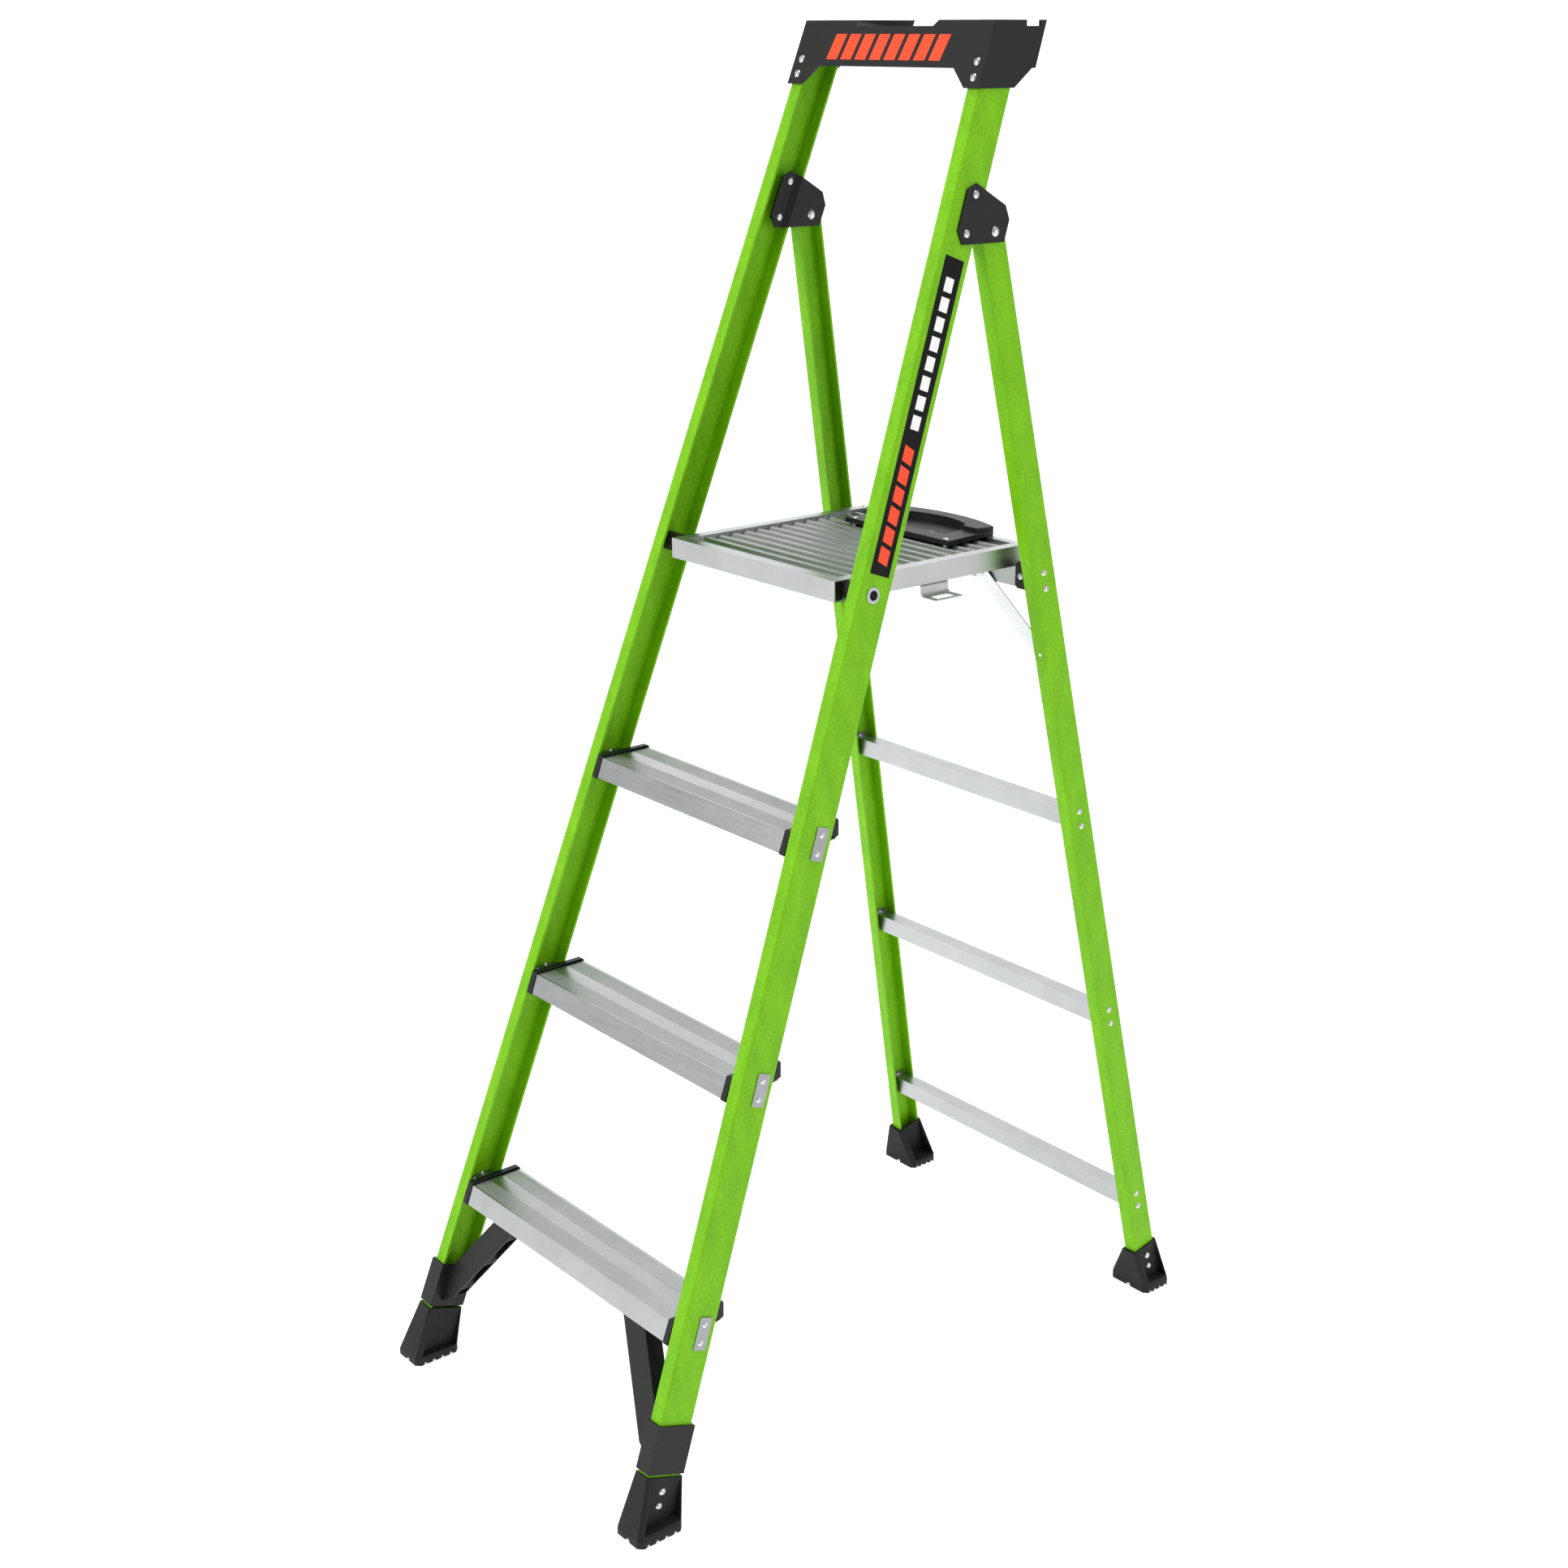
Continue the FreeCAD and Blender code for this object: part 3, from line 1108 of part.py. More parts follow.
def diagonal_strap():
    """Diagonal strap: a flat bar with rounded ends between the crossbar and a rear rail."""
    half = num("strap_width") / 2
    run = Vector(strap_low_x - strap_top_x, 0, strap_low_z - strap_top_z)
    along = run * (1 / run.Length)
    side = Vector(-along.z, 0, along.x)
    top = Vector(strap_top_x, 0, strap_top_z)
    low = Vector(strap_low_x, 0, strap_low_z)
    corners = [top - along * half * 0.5 + side * half, top - along * half * 0.9 + side * half * 0.5,
               top - along * half * 0.9 - side * half * 0.5, top - along * half * 0.5 - side * half,
               low + along * half * 0.5 - side * half, low + along * half * 0.8 - side * half * 0.5,
               low + along * half * 0.8 + side * half * 0.5, low + along * half * 0.5 + side * half]
    limit = rear_web_x(strap_low_z + 10, num("rear_wall") + 1.0)
    strap = slab([(point.x, point.z) for point in corners], 0, num("strap_thick"), BACK)
    strap = strap.common(block((0, -50, 0), (limit, 50, 2000)))
    lean = (strap_touch_y - strap_low_y) / (strap_touch_z - strap_low_z)
    shear = FreeCAD.Matrix()
    shear.A23 = lean
    strap = strap.transformGeometry(shear)
    strap.translate(Vector(0, strap_low_y - lean * strap_low_z, 0))
    for spot in (strap_rivet, strap_pin):
        bore = Part.makeCylinder(num("rivet_shank"), 40, spot - BACK * 20, BACK)
        strap = strap.cut(moved(bore, HOME.inverse() * REAR_RAIL))
    return moved(strap, HOME)


strap_rivet_y = strap_touch_y - num("rear_slope") * (strap_top_z - strap_touch_z)
strap_rivet = REAR_RAIL.inverse().multVec(HOME.multVec(
    Vector(strap_top_x, strap_rivet_y, strap_top_z)))
pair(solid_piece("diagonal_strap_right", diagonal_strap()), "diagonal_strap")
head_place = Placement(strap_rivet - BACK * 0.15, Rotation(UP, -90))
rivets = [moved(rivet(Z["rivet_shank"], Z["rivet_head"] * 0.9, Z["strap_grip"]),
                REAR_RAIL * head_place)]
pin_end = num("rear_wall") + 0.15 + num("strap_thick")
rivets.append(moved(Part.makeCylinder(num("rivet_shank"), pin_end, Vector(
    strap_pin.x, 0.02, strap_pin.z), BACK), REAR_RAIL))
keep(solid_piece("strap_rivets", Part.makeCompound(rivets + [flipped(r) for r in rivets])))


# ---------------------------------------------------------------- platform

deck_under = Z["deck_height"]
rib_floor = 6.5
tread_sheet = Z["deck_wall"]
behind_bar = Z["front_bar"] + 0.05
handle_rivet_spots = [(num("handle_half") - 12.0, num("deck_length") - num("handle_front") + 6.5),
                      (12.0 - num("handle_half"), num("deck_length") - num("handle_front") + 6.5),
                      (30.0, num("deck_length") - num("hold_front") + 12.0)]
hook_rivet_y = Z["hook_front"] + Z["hook_length"] / 2
hook_rivet_in = 7.0
corner_rivet_y = Z["deck_length"] - Z["rear_bar"] / 2


def front_bar():
    """Front bar: a rectangular tube across the platform's front with open ends."""
    body = new_body("platform_front_bar", DECK)
    profile = new_sketch(body, "YZ_Plane", "FrontBarProfile")
    wall = Z["deck_wall"]
    deep = Z["front_bar"]
    outline(profile, [(0, 0), (0, -deck_under), (deep, -deck_under), (deep, 0)])
    outline(profile, [(wall, -wall), (wall, wall - deck_under), (deep - wall, wall - deck_under),
                      (deep - wall, -wall)])
    pad(body, profile, 2 * deck_half, midplane=True)
    return body


def bar_plugs():
    """Plugs set just inside the open ends of the front bar."""
    wall = num("deck_wall") + 0.05
    start = float(deck_half) - 11.0
    plug = block((start, wall, wall - num("deck_height")),
                 (start + 10.0, num("front_bar") - wall, -wall))
    plug = moved(plug, DECK)
    return [plug, flipped(plug)]


def side_rail():
    """Side rail: a channel open inwards with a flat band on top and a ledge over the deck."""
    body = new_body("platform_side_rail_right", DECK)
    wall = Z["deck_wall"]
    half = deck_half
    band = half - Z["side_band"]
    length = Z["deck_length"] - behind_bar
    profile = new_sketch(body, "XZ_Plane", "SideRailProfile", -1 * Z["deck_length"])
    outline(profile, [(half, 0), (half, -deck_under), (half - 11, -deck_under),
                      (half - 11, wall - deck_under), (half - wall, wall - deck_under),
                      (half - wall, -wall), (band, -wall), (band, 0)])
    pad(body, profile, length)
    ledge_end = Z["deck_length"] - Z["rear_bar"] - 0.1
    ledge = new_sketch(body, "XZ_Plane", "SideRailLedge", -1 * ledge_end)
    outline(ledge, [(band, -0.5), (band, -rib_floor), (band + wall, -rib_floor), (band + wall, -0.5)])
    pad(body, ledge, length - Z["rear_bar"] - 0.1)
    bore = new_sketch(body, "YZ_Plane", "SideRailBore")
    hole(bore, Z["deck_pivot_back"], -Z["deck_pivot_drop"], Z["tube_outer"] + Z["running_gap"])
    pocket(body, bore)
    hook_hole = new_sketch(body, "XY_Plane", "SideRailHookHole", -10)
    hole(hook_hole, half - hook_rivet_in, hook_rivet_y, Z["rivet_shank"])
    pocket(body, hook_hole, way=-1)
    corner_hole = new_sketch(body, "XY_Plane", "SideRailCornerHole", -5)
    hole(corner_hole, half - Z["side_band"] / 2, corner_rivet_y, Z["rivet_shank"])
    pocket(body, corner_hole, way=1)
    return body


def deck_sheet():
    """Deck: a sheet under the side rails' ledges with raised ribs across it."""
    body = new_body("platform_deck", DECK)
    front = behind_bar + 0.05
    rear = Z["deck_length"] - Z["rear_bar"] - 0.1
    under = -rib_floor - 0.02
    sheet = new_sketch(body, "YZ_Plane", "DeckSheet")
    outline(sheet, [(front, under), (front, under - tread_sheet), (rear, under - tread_sheet),
                    (rear, under)])
    pad(body, sheet, 2 * (deck_half - Z["deck_wall"] - 4.0), midplane=True)
    rib = new_sketch(body, "YZ_Plane", "DeckRib")
    wide = Z["rib_width"] / 2
    tall = Z["rib_height"]
    middle = front + wide + 0.8
    outline(rib, [(middle - wide, under - 0.5), (middle - wide, under),
                  (middle - wide * 0.72, under + tall * 0.72),
                  (middle - wide * 0.35, under + tall), (middle + wide * 0.35, under + tall),
                  (middle + wide * 0.72, under + tall * 0.72), (middle + wide, under),
                  (middle + wide, under - 0.5)])
    ridge = pad(body, rib, 2 * (deck_half - Z["side_band"] - 0.6), midplane=True)
    count = int((float(rear) - float(middle) - float(wide)) / num("rib_pitch")) + 1
    rows = body.newObject("PartDesign::LinearPattern", "DeckRibs")
    rows.Originals = [ridge]
    rows.Direction = (plane_of(body, "Y_Axis"), [""])
    rows.Length = num("rib_pitch") * (count - 1)
    rows.setExpression("Length", (Z["rib_pitch"] * (count - 1)).text)
    rows.Occurrences = count
    body.Tip = rows
    doc.recompute()
    rivet_holes = new_sketch(body, "XY_Plane", "DeckRivetHoles")
    for x, y in handle_rivet_spots:
        hole(rivet_holes, x, y, Z["rivet_shank"])
    pocket(body, rivet_holes)
    return body


def rear_bar():
    """Rear bar: a rectangular tube between the side rails, under their top bands."""
    body = new_body("platform_rear_bar", DECK)
    wall = Z["deck_wall"]
    near = Z["deck_length"] - Z["rear_bar"]
    far = Z["deck_length"] - 0.05
    low = deck_under - wall - 0.05
    profile = new_sketch(body, "YZ_Plane", "RearBarProfile")
    outline(profile, [(near, -wall - 0.05), (near, -low), (far, -low), (far, -wall - 0.05)])
    outline(profile, [(near + wall, -2 * wall), (near + wall, wall - low), (far - wall, wall - low),
                      (far - wall, -2 * wall)])
    pad(body, profile, 2 * (deck_half - wall - 0.05), midplane=True)
    corner_holes = new_sketch(body, "XY_Plane", "RearBarHoles", -10)
    for side in (-1, 1):
        hole(corner_holes, side * (deck_half - Z["side_band"] / 2), corner_rivet_y,
             Z["rivet_shank"])
    pocket(body, corner_holes, way=1)
    return body


def handle():
    """Hand hold: a moulded plate with a D-shaped recess and an arched grip behind the deck."""
    edge = num("deck_length")
    half = num("handle_half")
    front = edge - num("handle_front")
    side = edge + num("handle_side")
    rear = edge + num("handle_rear")
    hold_rear = edge - num("hold_rear")
    low, top = -num("deck_wall"), 4.5

    def arched(half_front, start, half_rear, sides, back, bottom, height):
        points = [Vector(-half_rear, sides, bottom), Vector(-half_front, start, bottom),
                  Vector(half_front, start, bottom), Vector(half_rear, sides, bottom)]
        lines = Part.makePolygon(points).Edges
        arc = Part.Arc(points[3], Vector(0, back, bottom), points[0]).toShape()
        return Part.Face(Part.Wire(lines + [arc])).extrude(UP * height)
    plate = arched(half, front, half - 10, side, rear, low, top - low)
    grip = arched(half - 14, side - 26, half - 10, side, rear, low, 12.0)
    lip = arched(half - 12, edge + 0.3, half - 16, side, rear - 1.5, low - 9.0, 9.2)
    recess = arched(num("hold_half"), edge - num("hold_front"), num("hold_half") - 8,
                    hold_rear, hold_rear + 14, low + 1.5, 40.0)
    shape = plate.fuse([grip, lip]).cut(recess)
    for x, y in handle_rivet_spots:
        shape = shape.cut(Part.makeCylinder(num("rivet_shank"), 60, Vector(x, y, -30), UP))
    return moved(shape.removeSplitter(), DECK)


def standing_rivet(x, y, z, grip, place, tail=None):
    """A rivet along Z with its head on top."""
    turned = Placement(Vector(float(x), float(y), float(z)), Rotation(BACK, -90))
    return moved(rivet(Z["rivet_shank"], num("rivet_head") * 0.85, grip, tail), place * turned)


def hook():
    """Side hook: a bent strip under a side rail whose slotted arm reaches outwards."""
    thick = num("hook_thick")
    half = float(deck_half)
    under = -num("deck_height") - 0.03
    low = -num("deck_height") - num("hook_drop")
    reach = half + num("hook_reach")
    strip = slab([(half - 12.5, under), (half, under), (half, low + thick), (reach, low + thick),
                  (reach, low), (half - thick, low), (half - thick, under - thick),
                  (half - 12.5, under - thick)], num("hook_front"), num("hook_length"), BACK)
    slot = block((half + 9, num("hook_front") + 11, low - 5),
                 (reach - 6, num("hook_front") + num("hook_length") - 11, low + 8))
    strip = strip.cut(slot)
    tip = block((reach - 2.5, num("hook_front") + 28, low + thick - 0.5),
                (reach, num("hook_front") + num("hook_length"), low + thick + 0.4))
    strip = strip.fuse(tip)
    spot = Vector(half - hook_rivet_in, float(hook_rivet_y), low - 20)
    bore = Part.makeCylinder(num("rivet_shank"), 60, spot, UP)
    return moved(strip.cut(bore).removeSplitter(), DECK)


def platform_rivets():
    """Rivets of the hand hold, the hooks and the rear corners of the platform."""
    low = -num("deck_wall")
    rivets = []
    for x, y in handle_rivet_spots:
        on_top = y < num("deck_length") - num("hold_front") or abs(x) > num("hold_half")
        head_z = 4.5 if on_top else low + 1.5
        grip = head_z + rib_floor + num("deck_wall") + 0.1
        rivets.append(standing_rivet(x, y, head_z, grip, DECK))
    for x in (-1, 1):
        spot = x * (float(deck_half) - num("side_band") / 2)
        rivets.append(standing_rivet(spot, corner_rivet_y, 0, 2 * num("deck_wall") + 0.1, DECK))
    thick = num("hook_thick") + num("deck_wall") + 0.1
    for x in (-1, 1):
        turned = Placement(Vector(x * (float(deck_half) - hook_rivet_in), float(hook_rivet_y),
                                  -num("deck_height") - 0.03 - num("hook_thick")),
                           Rotation(BACK, 90))
        rivets.append(moved(rivet(Z["rivet_shank"], 3.6, thick), DECK * turned))
    return rivets


def pivot_tube():
    """Platform pivot tube: its flared end lies on the web and its body runs along X."""
    outer, inner = num("tube_outer"), num("tube_inner")
    end = DECK_PIVOT + Vector(float(deck_half) - num("deck_wall") - 1.5, 0, 0)
    web = float(web_half(DECK_PIVOT.z))
    site = FRONT_RAIL * Placement(Vector(0, deck_pivot_local.y, deck_pivot_local.z), Rotation())
    body = Part.makeCylinder(outer, web + 0.6 - end.x, end, ACROSS)
    ring = Part.makeCylinder(num("eyelet_radius"), 1.3, Vector(0.03, 0, 0), ACROSS)
    ring = ring.makeFillet(0.6, [edge for edge in ring.Edges if edge.CenterOfMass.x > 1.2
                                 and len(edge.Vertexes) == 1])
    shape = body.fuse(moved(ring, site))
    collar = Part.makeCylinder(outer + 0.8, 1.2, end, ACROSS)
    bore = Part.makeCylinder(inner, 200, end - ACROSS * 50, ACROSS)
    return shape.fuse(collar).cut(bore)


def bush():
    """Bush: a black sleeve around the tube, between the rail's web and the platform."""
    start = DECK_PIVOT + Vector(float(deck_half) + 0.3, 0, 0)
    sleeve = Part.makeCylinder(num("bush_radius"), 80, start, ACROSS)
    outside = moved(block((-num("front_wall") - 0.03, -1000, -500), (200, 3000, 4000)), FRONT_SIDE)
    sleeve = sleeve.cut(outside)
    return sleeve.cut(Part.makeCylinder(num("tube_outer") + 0.02, 100, start - ACROSS * 5, ACROSS))


keep(front_bar())
keep(solid_piece("platform_bar_plugs", Part.makeCompound(bar_plugs())))
pair(side_rail(), "platform_side_rail")
keep(deck_sheet())
keep(rear_bar())
keep(solid_piece("platform_handle", handle()))
hook_piece = hook()
keep(solid_piece("platform_hooks", Part.makeCompound([hook_piece, flipped(hook_piece)])))
platform_rivet_solids = platform_rivets()
keep(solid_piece("platform_rivets", Part.makeCompound(platform_rivet_solids)))
tube_piece = pivot_tube()
keep(solid_piece("platform_pivot_tubes", Part.makeCompound([tube_piece, flipped(tube_piece)])))
bush_piece = bush()
keep(solid_piece("platform_bushes", Part.makeCompound([bush_piece, flipped(bush_piece)])))


# ---------------------------------------------------------------- top cap and label

def cap_slice(ahead, behind, side_extra, low, high):
    """A block with the cap's lean and splay between two heights."""
    def corner(extra_x, offset, z):
        half = float(web_half(z)) + extra_x
        y = rail_face(z) + offset
        return half, y

    def level(z):
        half, front = corner(side_extra, -ahead, z)
        back = rail_face(z) + behind
        points = [Vector(-half, front, z), Vector(half, front, z), Vector(half, back, z),
                  Vector(-half, back, z)]
        return Part.makePolygon(points + points[:1])
    return Part.makeLoft([level(low), level(high)], True, True)


def top_cap():
    """Top cap: a shell over the front rails with ears, a tool notch and two side notches."""
    top = num("cap_top")
    ears = top - num("cap_skirt") - num("cap_ear")
    skirt = top - num("cap_skirt")
    wall = num("cap_wall")
    ahead, side = num("cap_front"), num("cap_side")
    behind = num("cap_depth") - ahead
    play = num("cap_play")
    shell = cap_slice(ahead, behind, side, ears, top)
    hollow = cap_slice(play, behind - wall, play, ears - 10, top - wall)
    ridge = num("notch_mouth") + 7
    thick_middle = block((-ridge, rail_face(top) - 60, top - num("cap_block")),
                         (ridge, rail_face(top) + 90, top))
    hollow = hollow.cut(thick_middle)
    for way in (-1, 1):
        edge = way * (float(web_half(top)) + side)
        inside = edge - way * (num("side_ledge") + 6)
        corner = block((min(edge, inside), rail_face(top) + num("side_notch_front") - 7,
                        top - num("cap_block")),
                       (max(edge, inside), rail_face(top) + 90, top))
        hollow = hollow.cut(corner)
    shell = shell.cut(hollow)
    y0 = rail_face(ears) - 40
    broad, narrow = num("cap_opening_low"), num("cap_opening_high")
    opening = slab([(-broad, ears - 5), (-broad, ears), (-narrow, skirt), (narrow, skirt),
                    (broad, ears), (broad, ears - 5)], y0, 260, BACK)
    shell = shell.cut(opening)
    back_low = rail_face(ears) + 54.8
    rear_cut = slab([(back_low, ears - 5), (back_low, ears), (rail_face(skirt) + 77, skirt),
                     (rail_face(skirt) + 200, skirt), (rail_face(skirt) + 200, ears - 5)],
                    -400, 800, ACROSS)
    shell = shell.cut(rear_cut)
    lip_y = rail_face(top) - ahead
    deep = num("notch_depth")
    mouth, floor, rear = num("notch_mouth"), num("notch_floor"), num("notch_rear")
    notch = slab([(-mouth - 1, lip_y - 5), (mouth + 1, lip_y - 5), (rear, lip_y + 100),
                  (-rear, lip_y + 100)], top - deep, 12, UP)
    taper = slab([(-floor, top - deep - 0.01), (-mouth, top), (-mouth, top + 6), (mouth, top + 6),
                  (mouth, top), (floor, top - deep - 0.01)], lip_y - 30, 150, BACK)
    shell = shell.cut(notch.common(taper))
    for way in (-1, 1):
        edge = way * (float(web_half(top)) + side)
        start = rail_face(top) + num("side_notch_front")
        stop = rail_face(top) + num("side_notch_rear")
        outside, inside = edge + way * 6, edge - way * 9
        bite = block((min(outside, inside), start, top - deep),
                     (max(outside, inside), stop, top + 5))
        lip, inside = edge - way * num("side_lip"), edge - way * num("side_ledge")
        ledge = block((min(lip, inside), start, top - deep),
                      (max(lip, inside), rail_face(top) + 95, top + 5))
        shell = shell.cut(bite).cut(ledge)
    for inward, along in cap_rivet_spots:
        for piece in (1, -1):
            bore = Part.makeCylinder(num("rivet_shank") + 0.1, 40, Vector(-inward, -30, along), BACK)
            bore = moved(bore, HOME.inverse() * FRONT_RAIL)
            shell = shell.cut(bore if piece == 1 else flipped(bore))
    return moved(shell, HOME)


def cap_rivets():
    """Rivets through the cap's ears and the front flanges of the rails."""
    tilt = cap_rivet_spots[0][0] * num("splay_slope") * num("front_slope")
    out = (num("cap_front") + tilt) * front_cos + 0.12
    grip = out + num("front_wall") + 0.05
    turned = Rotation(UP, -90)
    return [moved(rivet(Z["rivet_shank"], Z["rivet_head"], grip),
                  FRONT_RAIL * Placement(Vector(-inward, -out, along), turned))
            for inward, along in cap_rivet_spots]


def label():
    """Label: a thin strip on the outer face of the right front rail."""
    body = new_body("rail_label", FRONT_RAIL)
    face = new_sketch(body, "YZ_Plane", "LabelFace", 0.01)
    edge = (Z["front_depth"] - Z["label_width"]) / 2
    outline(face, [(edge, Z["label_low"]), (edge + Z["label_width"], Z["label_low"]),
                   (edge + Z["label_width"], Z["label_high"]), (edge, Z["label_high"])])
    pad(body, face, Z["label_thick"])
    return body


keep(solid_piece("top_cap", top_cap()))
rivets = cap_rivets()
keep(solid_piece("top_cap_rivets", Part.makeCompound(rivets + [flipped(r) for r in rivets])))
keep(label())


# ---------------------------------------------------------------- checks and files

doc.recompute()
for item in doc.Objects:
    if "Invalid" in item.State or "Error" in item.State:
        raise ValueError(f"{item.Label} failed: {item.State}")
for piece in PARTS:
    if piece.Shape.isNull() or not piece.Shape.isValid():
        raise ValueError(f"{piece.Label} has no valid shape")

os.makedirs("parts", exist_ok=True)
for piece in PARTS:
    piece.Shape.exportStep(f"parts/{piece.Label}.step")
print(len(PARTS), "parts")
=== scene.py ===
"""Looks of the folding platform step ladder, built around its packed design."""
import math

import bmesh
import bpy
import numpy as np
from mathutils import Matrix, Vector


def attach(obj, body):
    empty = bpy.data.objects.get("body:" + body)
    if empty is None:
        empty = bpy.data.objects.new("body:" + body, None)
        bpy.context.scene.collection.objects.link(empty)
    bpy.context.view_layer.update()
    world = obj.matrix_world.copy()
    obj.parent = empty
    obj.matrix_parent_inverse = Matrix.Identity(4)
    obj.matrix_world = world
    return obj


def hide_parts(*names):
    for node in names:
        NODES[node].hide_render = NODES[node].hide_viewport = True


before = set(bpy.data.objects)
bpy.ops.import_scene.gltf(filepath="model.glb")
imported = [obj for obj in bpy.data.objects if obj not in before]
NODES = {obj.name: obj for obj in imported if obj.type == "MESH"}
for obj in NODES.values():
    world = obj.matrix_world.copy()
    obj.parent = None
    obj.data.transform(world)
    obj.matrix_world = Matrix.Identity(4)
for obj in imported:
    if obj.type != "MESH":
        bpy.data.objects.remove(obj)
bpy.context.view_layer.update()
MM = 0.001
FRONT_RIGHT = math.radians(50.16)  # the heading of the camera, and of the wall behind the ladder


# ---------------------------------------------------------------- the studio
# A pale sweep of floor and wall under large soft lights, and a camera that looks down on the
# ladder from its front right.

def linear(code):
    """sRGB hex to linear RGBA: c/12.92 up to 0.04045, else ((c + 0.055)/1.055)**2.4."""
    channels = np.array([int(code[i:i + 2], 16) for i in (1, 3, 5)]) / 255
    bent = np.where(channels <= 0.04045, channels / 12.92, ((channels + 0.055) / 1.055) ** 2.4)
    return (*bent.tolist(), 1.0)


def node(tree, kind, settings=None, links=None):
    """Add one node, set its fields and feed its inputs from values or other nodes' sockets."""
    item = tree.nodes.new(kind)
    for key, value in (settings or {}).items():
        setattr(item, key, value)
    for key, value in (links or {}).items():
        if isinstance(value, bpy.types.NodeSocket):
            tree.links.new(value, item.inputs[key])
        else:
            item.inputs[key].default_value = value
    return item


def new_material(name, **values):
    """An empty node material with a shader, its steady values and an output."""
    material = bpy.data.materials.new(name)
    material.use_nodes = True
    tree = material.node_tree
    tree.nodes.clear()
    steady = {key.replace("_", " "): value for key, value in values.items()}
    shader = node(tree, "ShaderNodeBsdfPrincipled", links=steady)
    node(tree, "ShaderNodeOutputMaterial", links={"Surface": shader.outputs["BSDF"]})
    return material, tree, shader


def feed(tree, shader, **sockets):
    """Link sockets to the shader's inputs, named with _ for each space."""
    for name, socket in sockets.items():
        tree.links.new(socket, shader.inputs[name.replace("_", " ")])


def with_outward_normals(mesh, weld=None):
    """Recalculate a mesh's normals, after merging points closer than a given distance."""
    shape = bmesh.new()
    shape.from_mesh(mesh)
    if weld:
        bmesh.ops.remove_doubles(shape, verts=shape.verts, dist=weld)
    bmesh.ops.recalc_face_normals(shape, faces=shape.faces)
    shape.to_mesh(mesh)
    shape.free()
    return mesh


def grids_mesh(name, grids, closed=False):
    """One mesh from rows x columns x 3 arrays: quads join neighbours, and poles are merged."""
    points, faces, start = [], [], 0
    for grid in grids:
        rows, columns = grid.shape[:2]
        index = np.arange(start, start + rows * columns).reshape(rows, columns)
        if closed:
            index = np.hstack([index, index[:, :1]])
        quads = np.stack([index[:-1, :-1], index[:-1, 1:], index[1:, 1:], index[1:, :-1]], -1)
        points.append(grid.reshape(-1, 3))
        faces.append(quads.reshape(-1, 4))
        start += rows * columns
    mesh = bpy.data.meshes.new(name)
    mesh.from_pydata(np.vstack(points).tolist(), [], np.vstack(faces).tolist())
    return with_outward_normals(mesh, weld=1e-7)


def placed(name, mesh, material=None, smooth=None):
    """An object for a mesh, in the scene, with edges sharper than an angle kept crisp."""
    piece = bpy.data.objects.new(name, mesh)
    bpy.context.scene.collection.objects.link(piece)
    if material:
        mesh.materials.clear()
        mesh.materials.append(material)
    if smooth is not None:
        mesh.polygons.foreach_set("use_smooth", np.ones(len(mesh.polygons), bool))
        mesh.set_sharp_from_angle(angle=math.radians(smooth))
    return piece


def studio():
    """Floor at z = 0, then a quarter circle of 1.5 m radius up to a wall behind the ladder."""
    turn = np.linspace(0, math.pi / 2, 24)
    reach = np.concatenate([[-9.0], 5.0 + 1.5 * np.sin(turn), [6.5]])
    rise = np.concatenate([[0.0], 1.5 - 1.5 * np.cos(turn), [7.0]])
    across = np.linspace(-12, 12, 3)
    points = np.zeros((len(reach), 3, 3))
    points += reach[:, None, None] * np.array([-math.sin(FRONT_RIGHT), math.cos(FRONT_RIGHT), 0])
    points += across[None, :, None] * np.array([math.cos(FRONT_RIGHT), math.sin(FRONT_RIGHT), 0])
    points[:, :, 2] = rise[:, None]
    paper, tree, shader = new_material("matt studio paper", Roughness=0.9,
                                       Emission_Color=(1, 1, 1, 1), Emission_Strength=0.5)
    fibres = node(tree, "ShaderNodeTexNoise", links={
        "Vector": node(tree, "ShaderNodeTexCoord").outputs["Object"], "Scale": 60.0})
    shade = node(tree, "ShaderNodeMix", {"data_type": "RGBA"}, {
        "Factor": fibres.outputs["Fac"], "A": linear("#f8f8f8"), "B": linear("#fcfcfc")})
    feed(tree, shader, Base_Color=shade.outputs["Result"])
    sweep = placed("floor", grids_mesh("floor", [points]), paper, 80)
    if sweep.data.polygons[0].normal.z < 0:
        sweep.data.flip_normals()


def area_light(name, spot, aim, size, power):
    """A rectangular light at a spot, turned towards a point."""
    lamp = bpy.data.lights.new(name, "AREA")
    lamp.shape = "RECTANGLE"
    lamp.size, lamp.size_y = size
    lamp.energy = power
    holder = bpy.data.objects.new(name, lamp)
    bpy.context.scene.collection.objects.link(holder)
    holder.location = spot
    holder.rotation_euler = (Vector(aim) - Vector(spot)).to_track_quat("-Z", "Y").to_euler()


studio()
world = bpy.data.worlds.new("soft white room")
world.use_nodes = True
world.node_tree.nodes["Background"].inputs["Color"].default_value = (1, 1, 1, 1)
world.node_tree.nodes["Background"].inputs["Strength"].default_value = 0.5
bpy.context.scene.world = world
area_light("key", (-1.4, -4.0, 3.0), (0, 0, 0.9), (2.2, 2.6), 120)
area_light("side", (3.8, 1.6, 2.0), (0, 0, 0.7), (1.8, 2.4), 34)
area_light("top", (0.2, 0.4, 4.6), (0, 0, 0.8), (2.4, 2.4), 75)

camera = bpy.data.cameras.new("camera")
camera.sensor_width = 36.0
camera.lens = 51.773
viewer = bpy.data.objects.new("camera", camera)
bpy.context.scene.collection.objects.link(viewer)
viewer.location = (2.1393, -1.80357, 1.7328)
viewer.rotation_euler = (math.radians(71.51), 0, FRONT_RIGHT)
bpy.context.scene.camera = viewer
bpy.context.scene.view_settings.view_transform = "Standard"


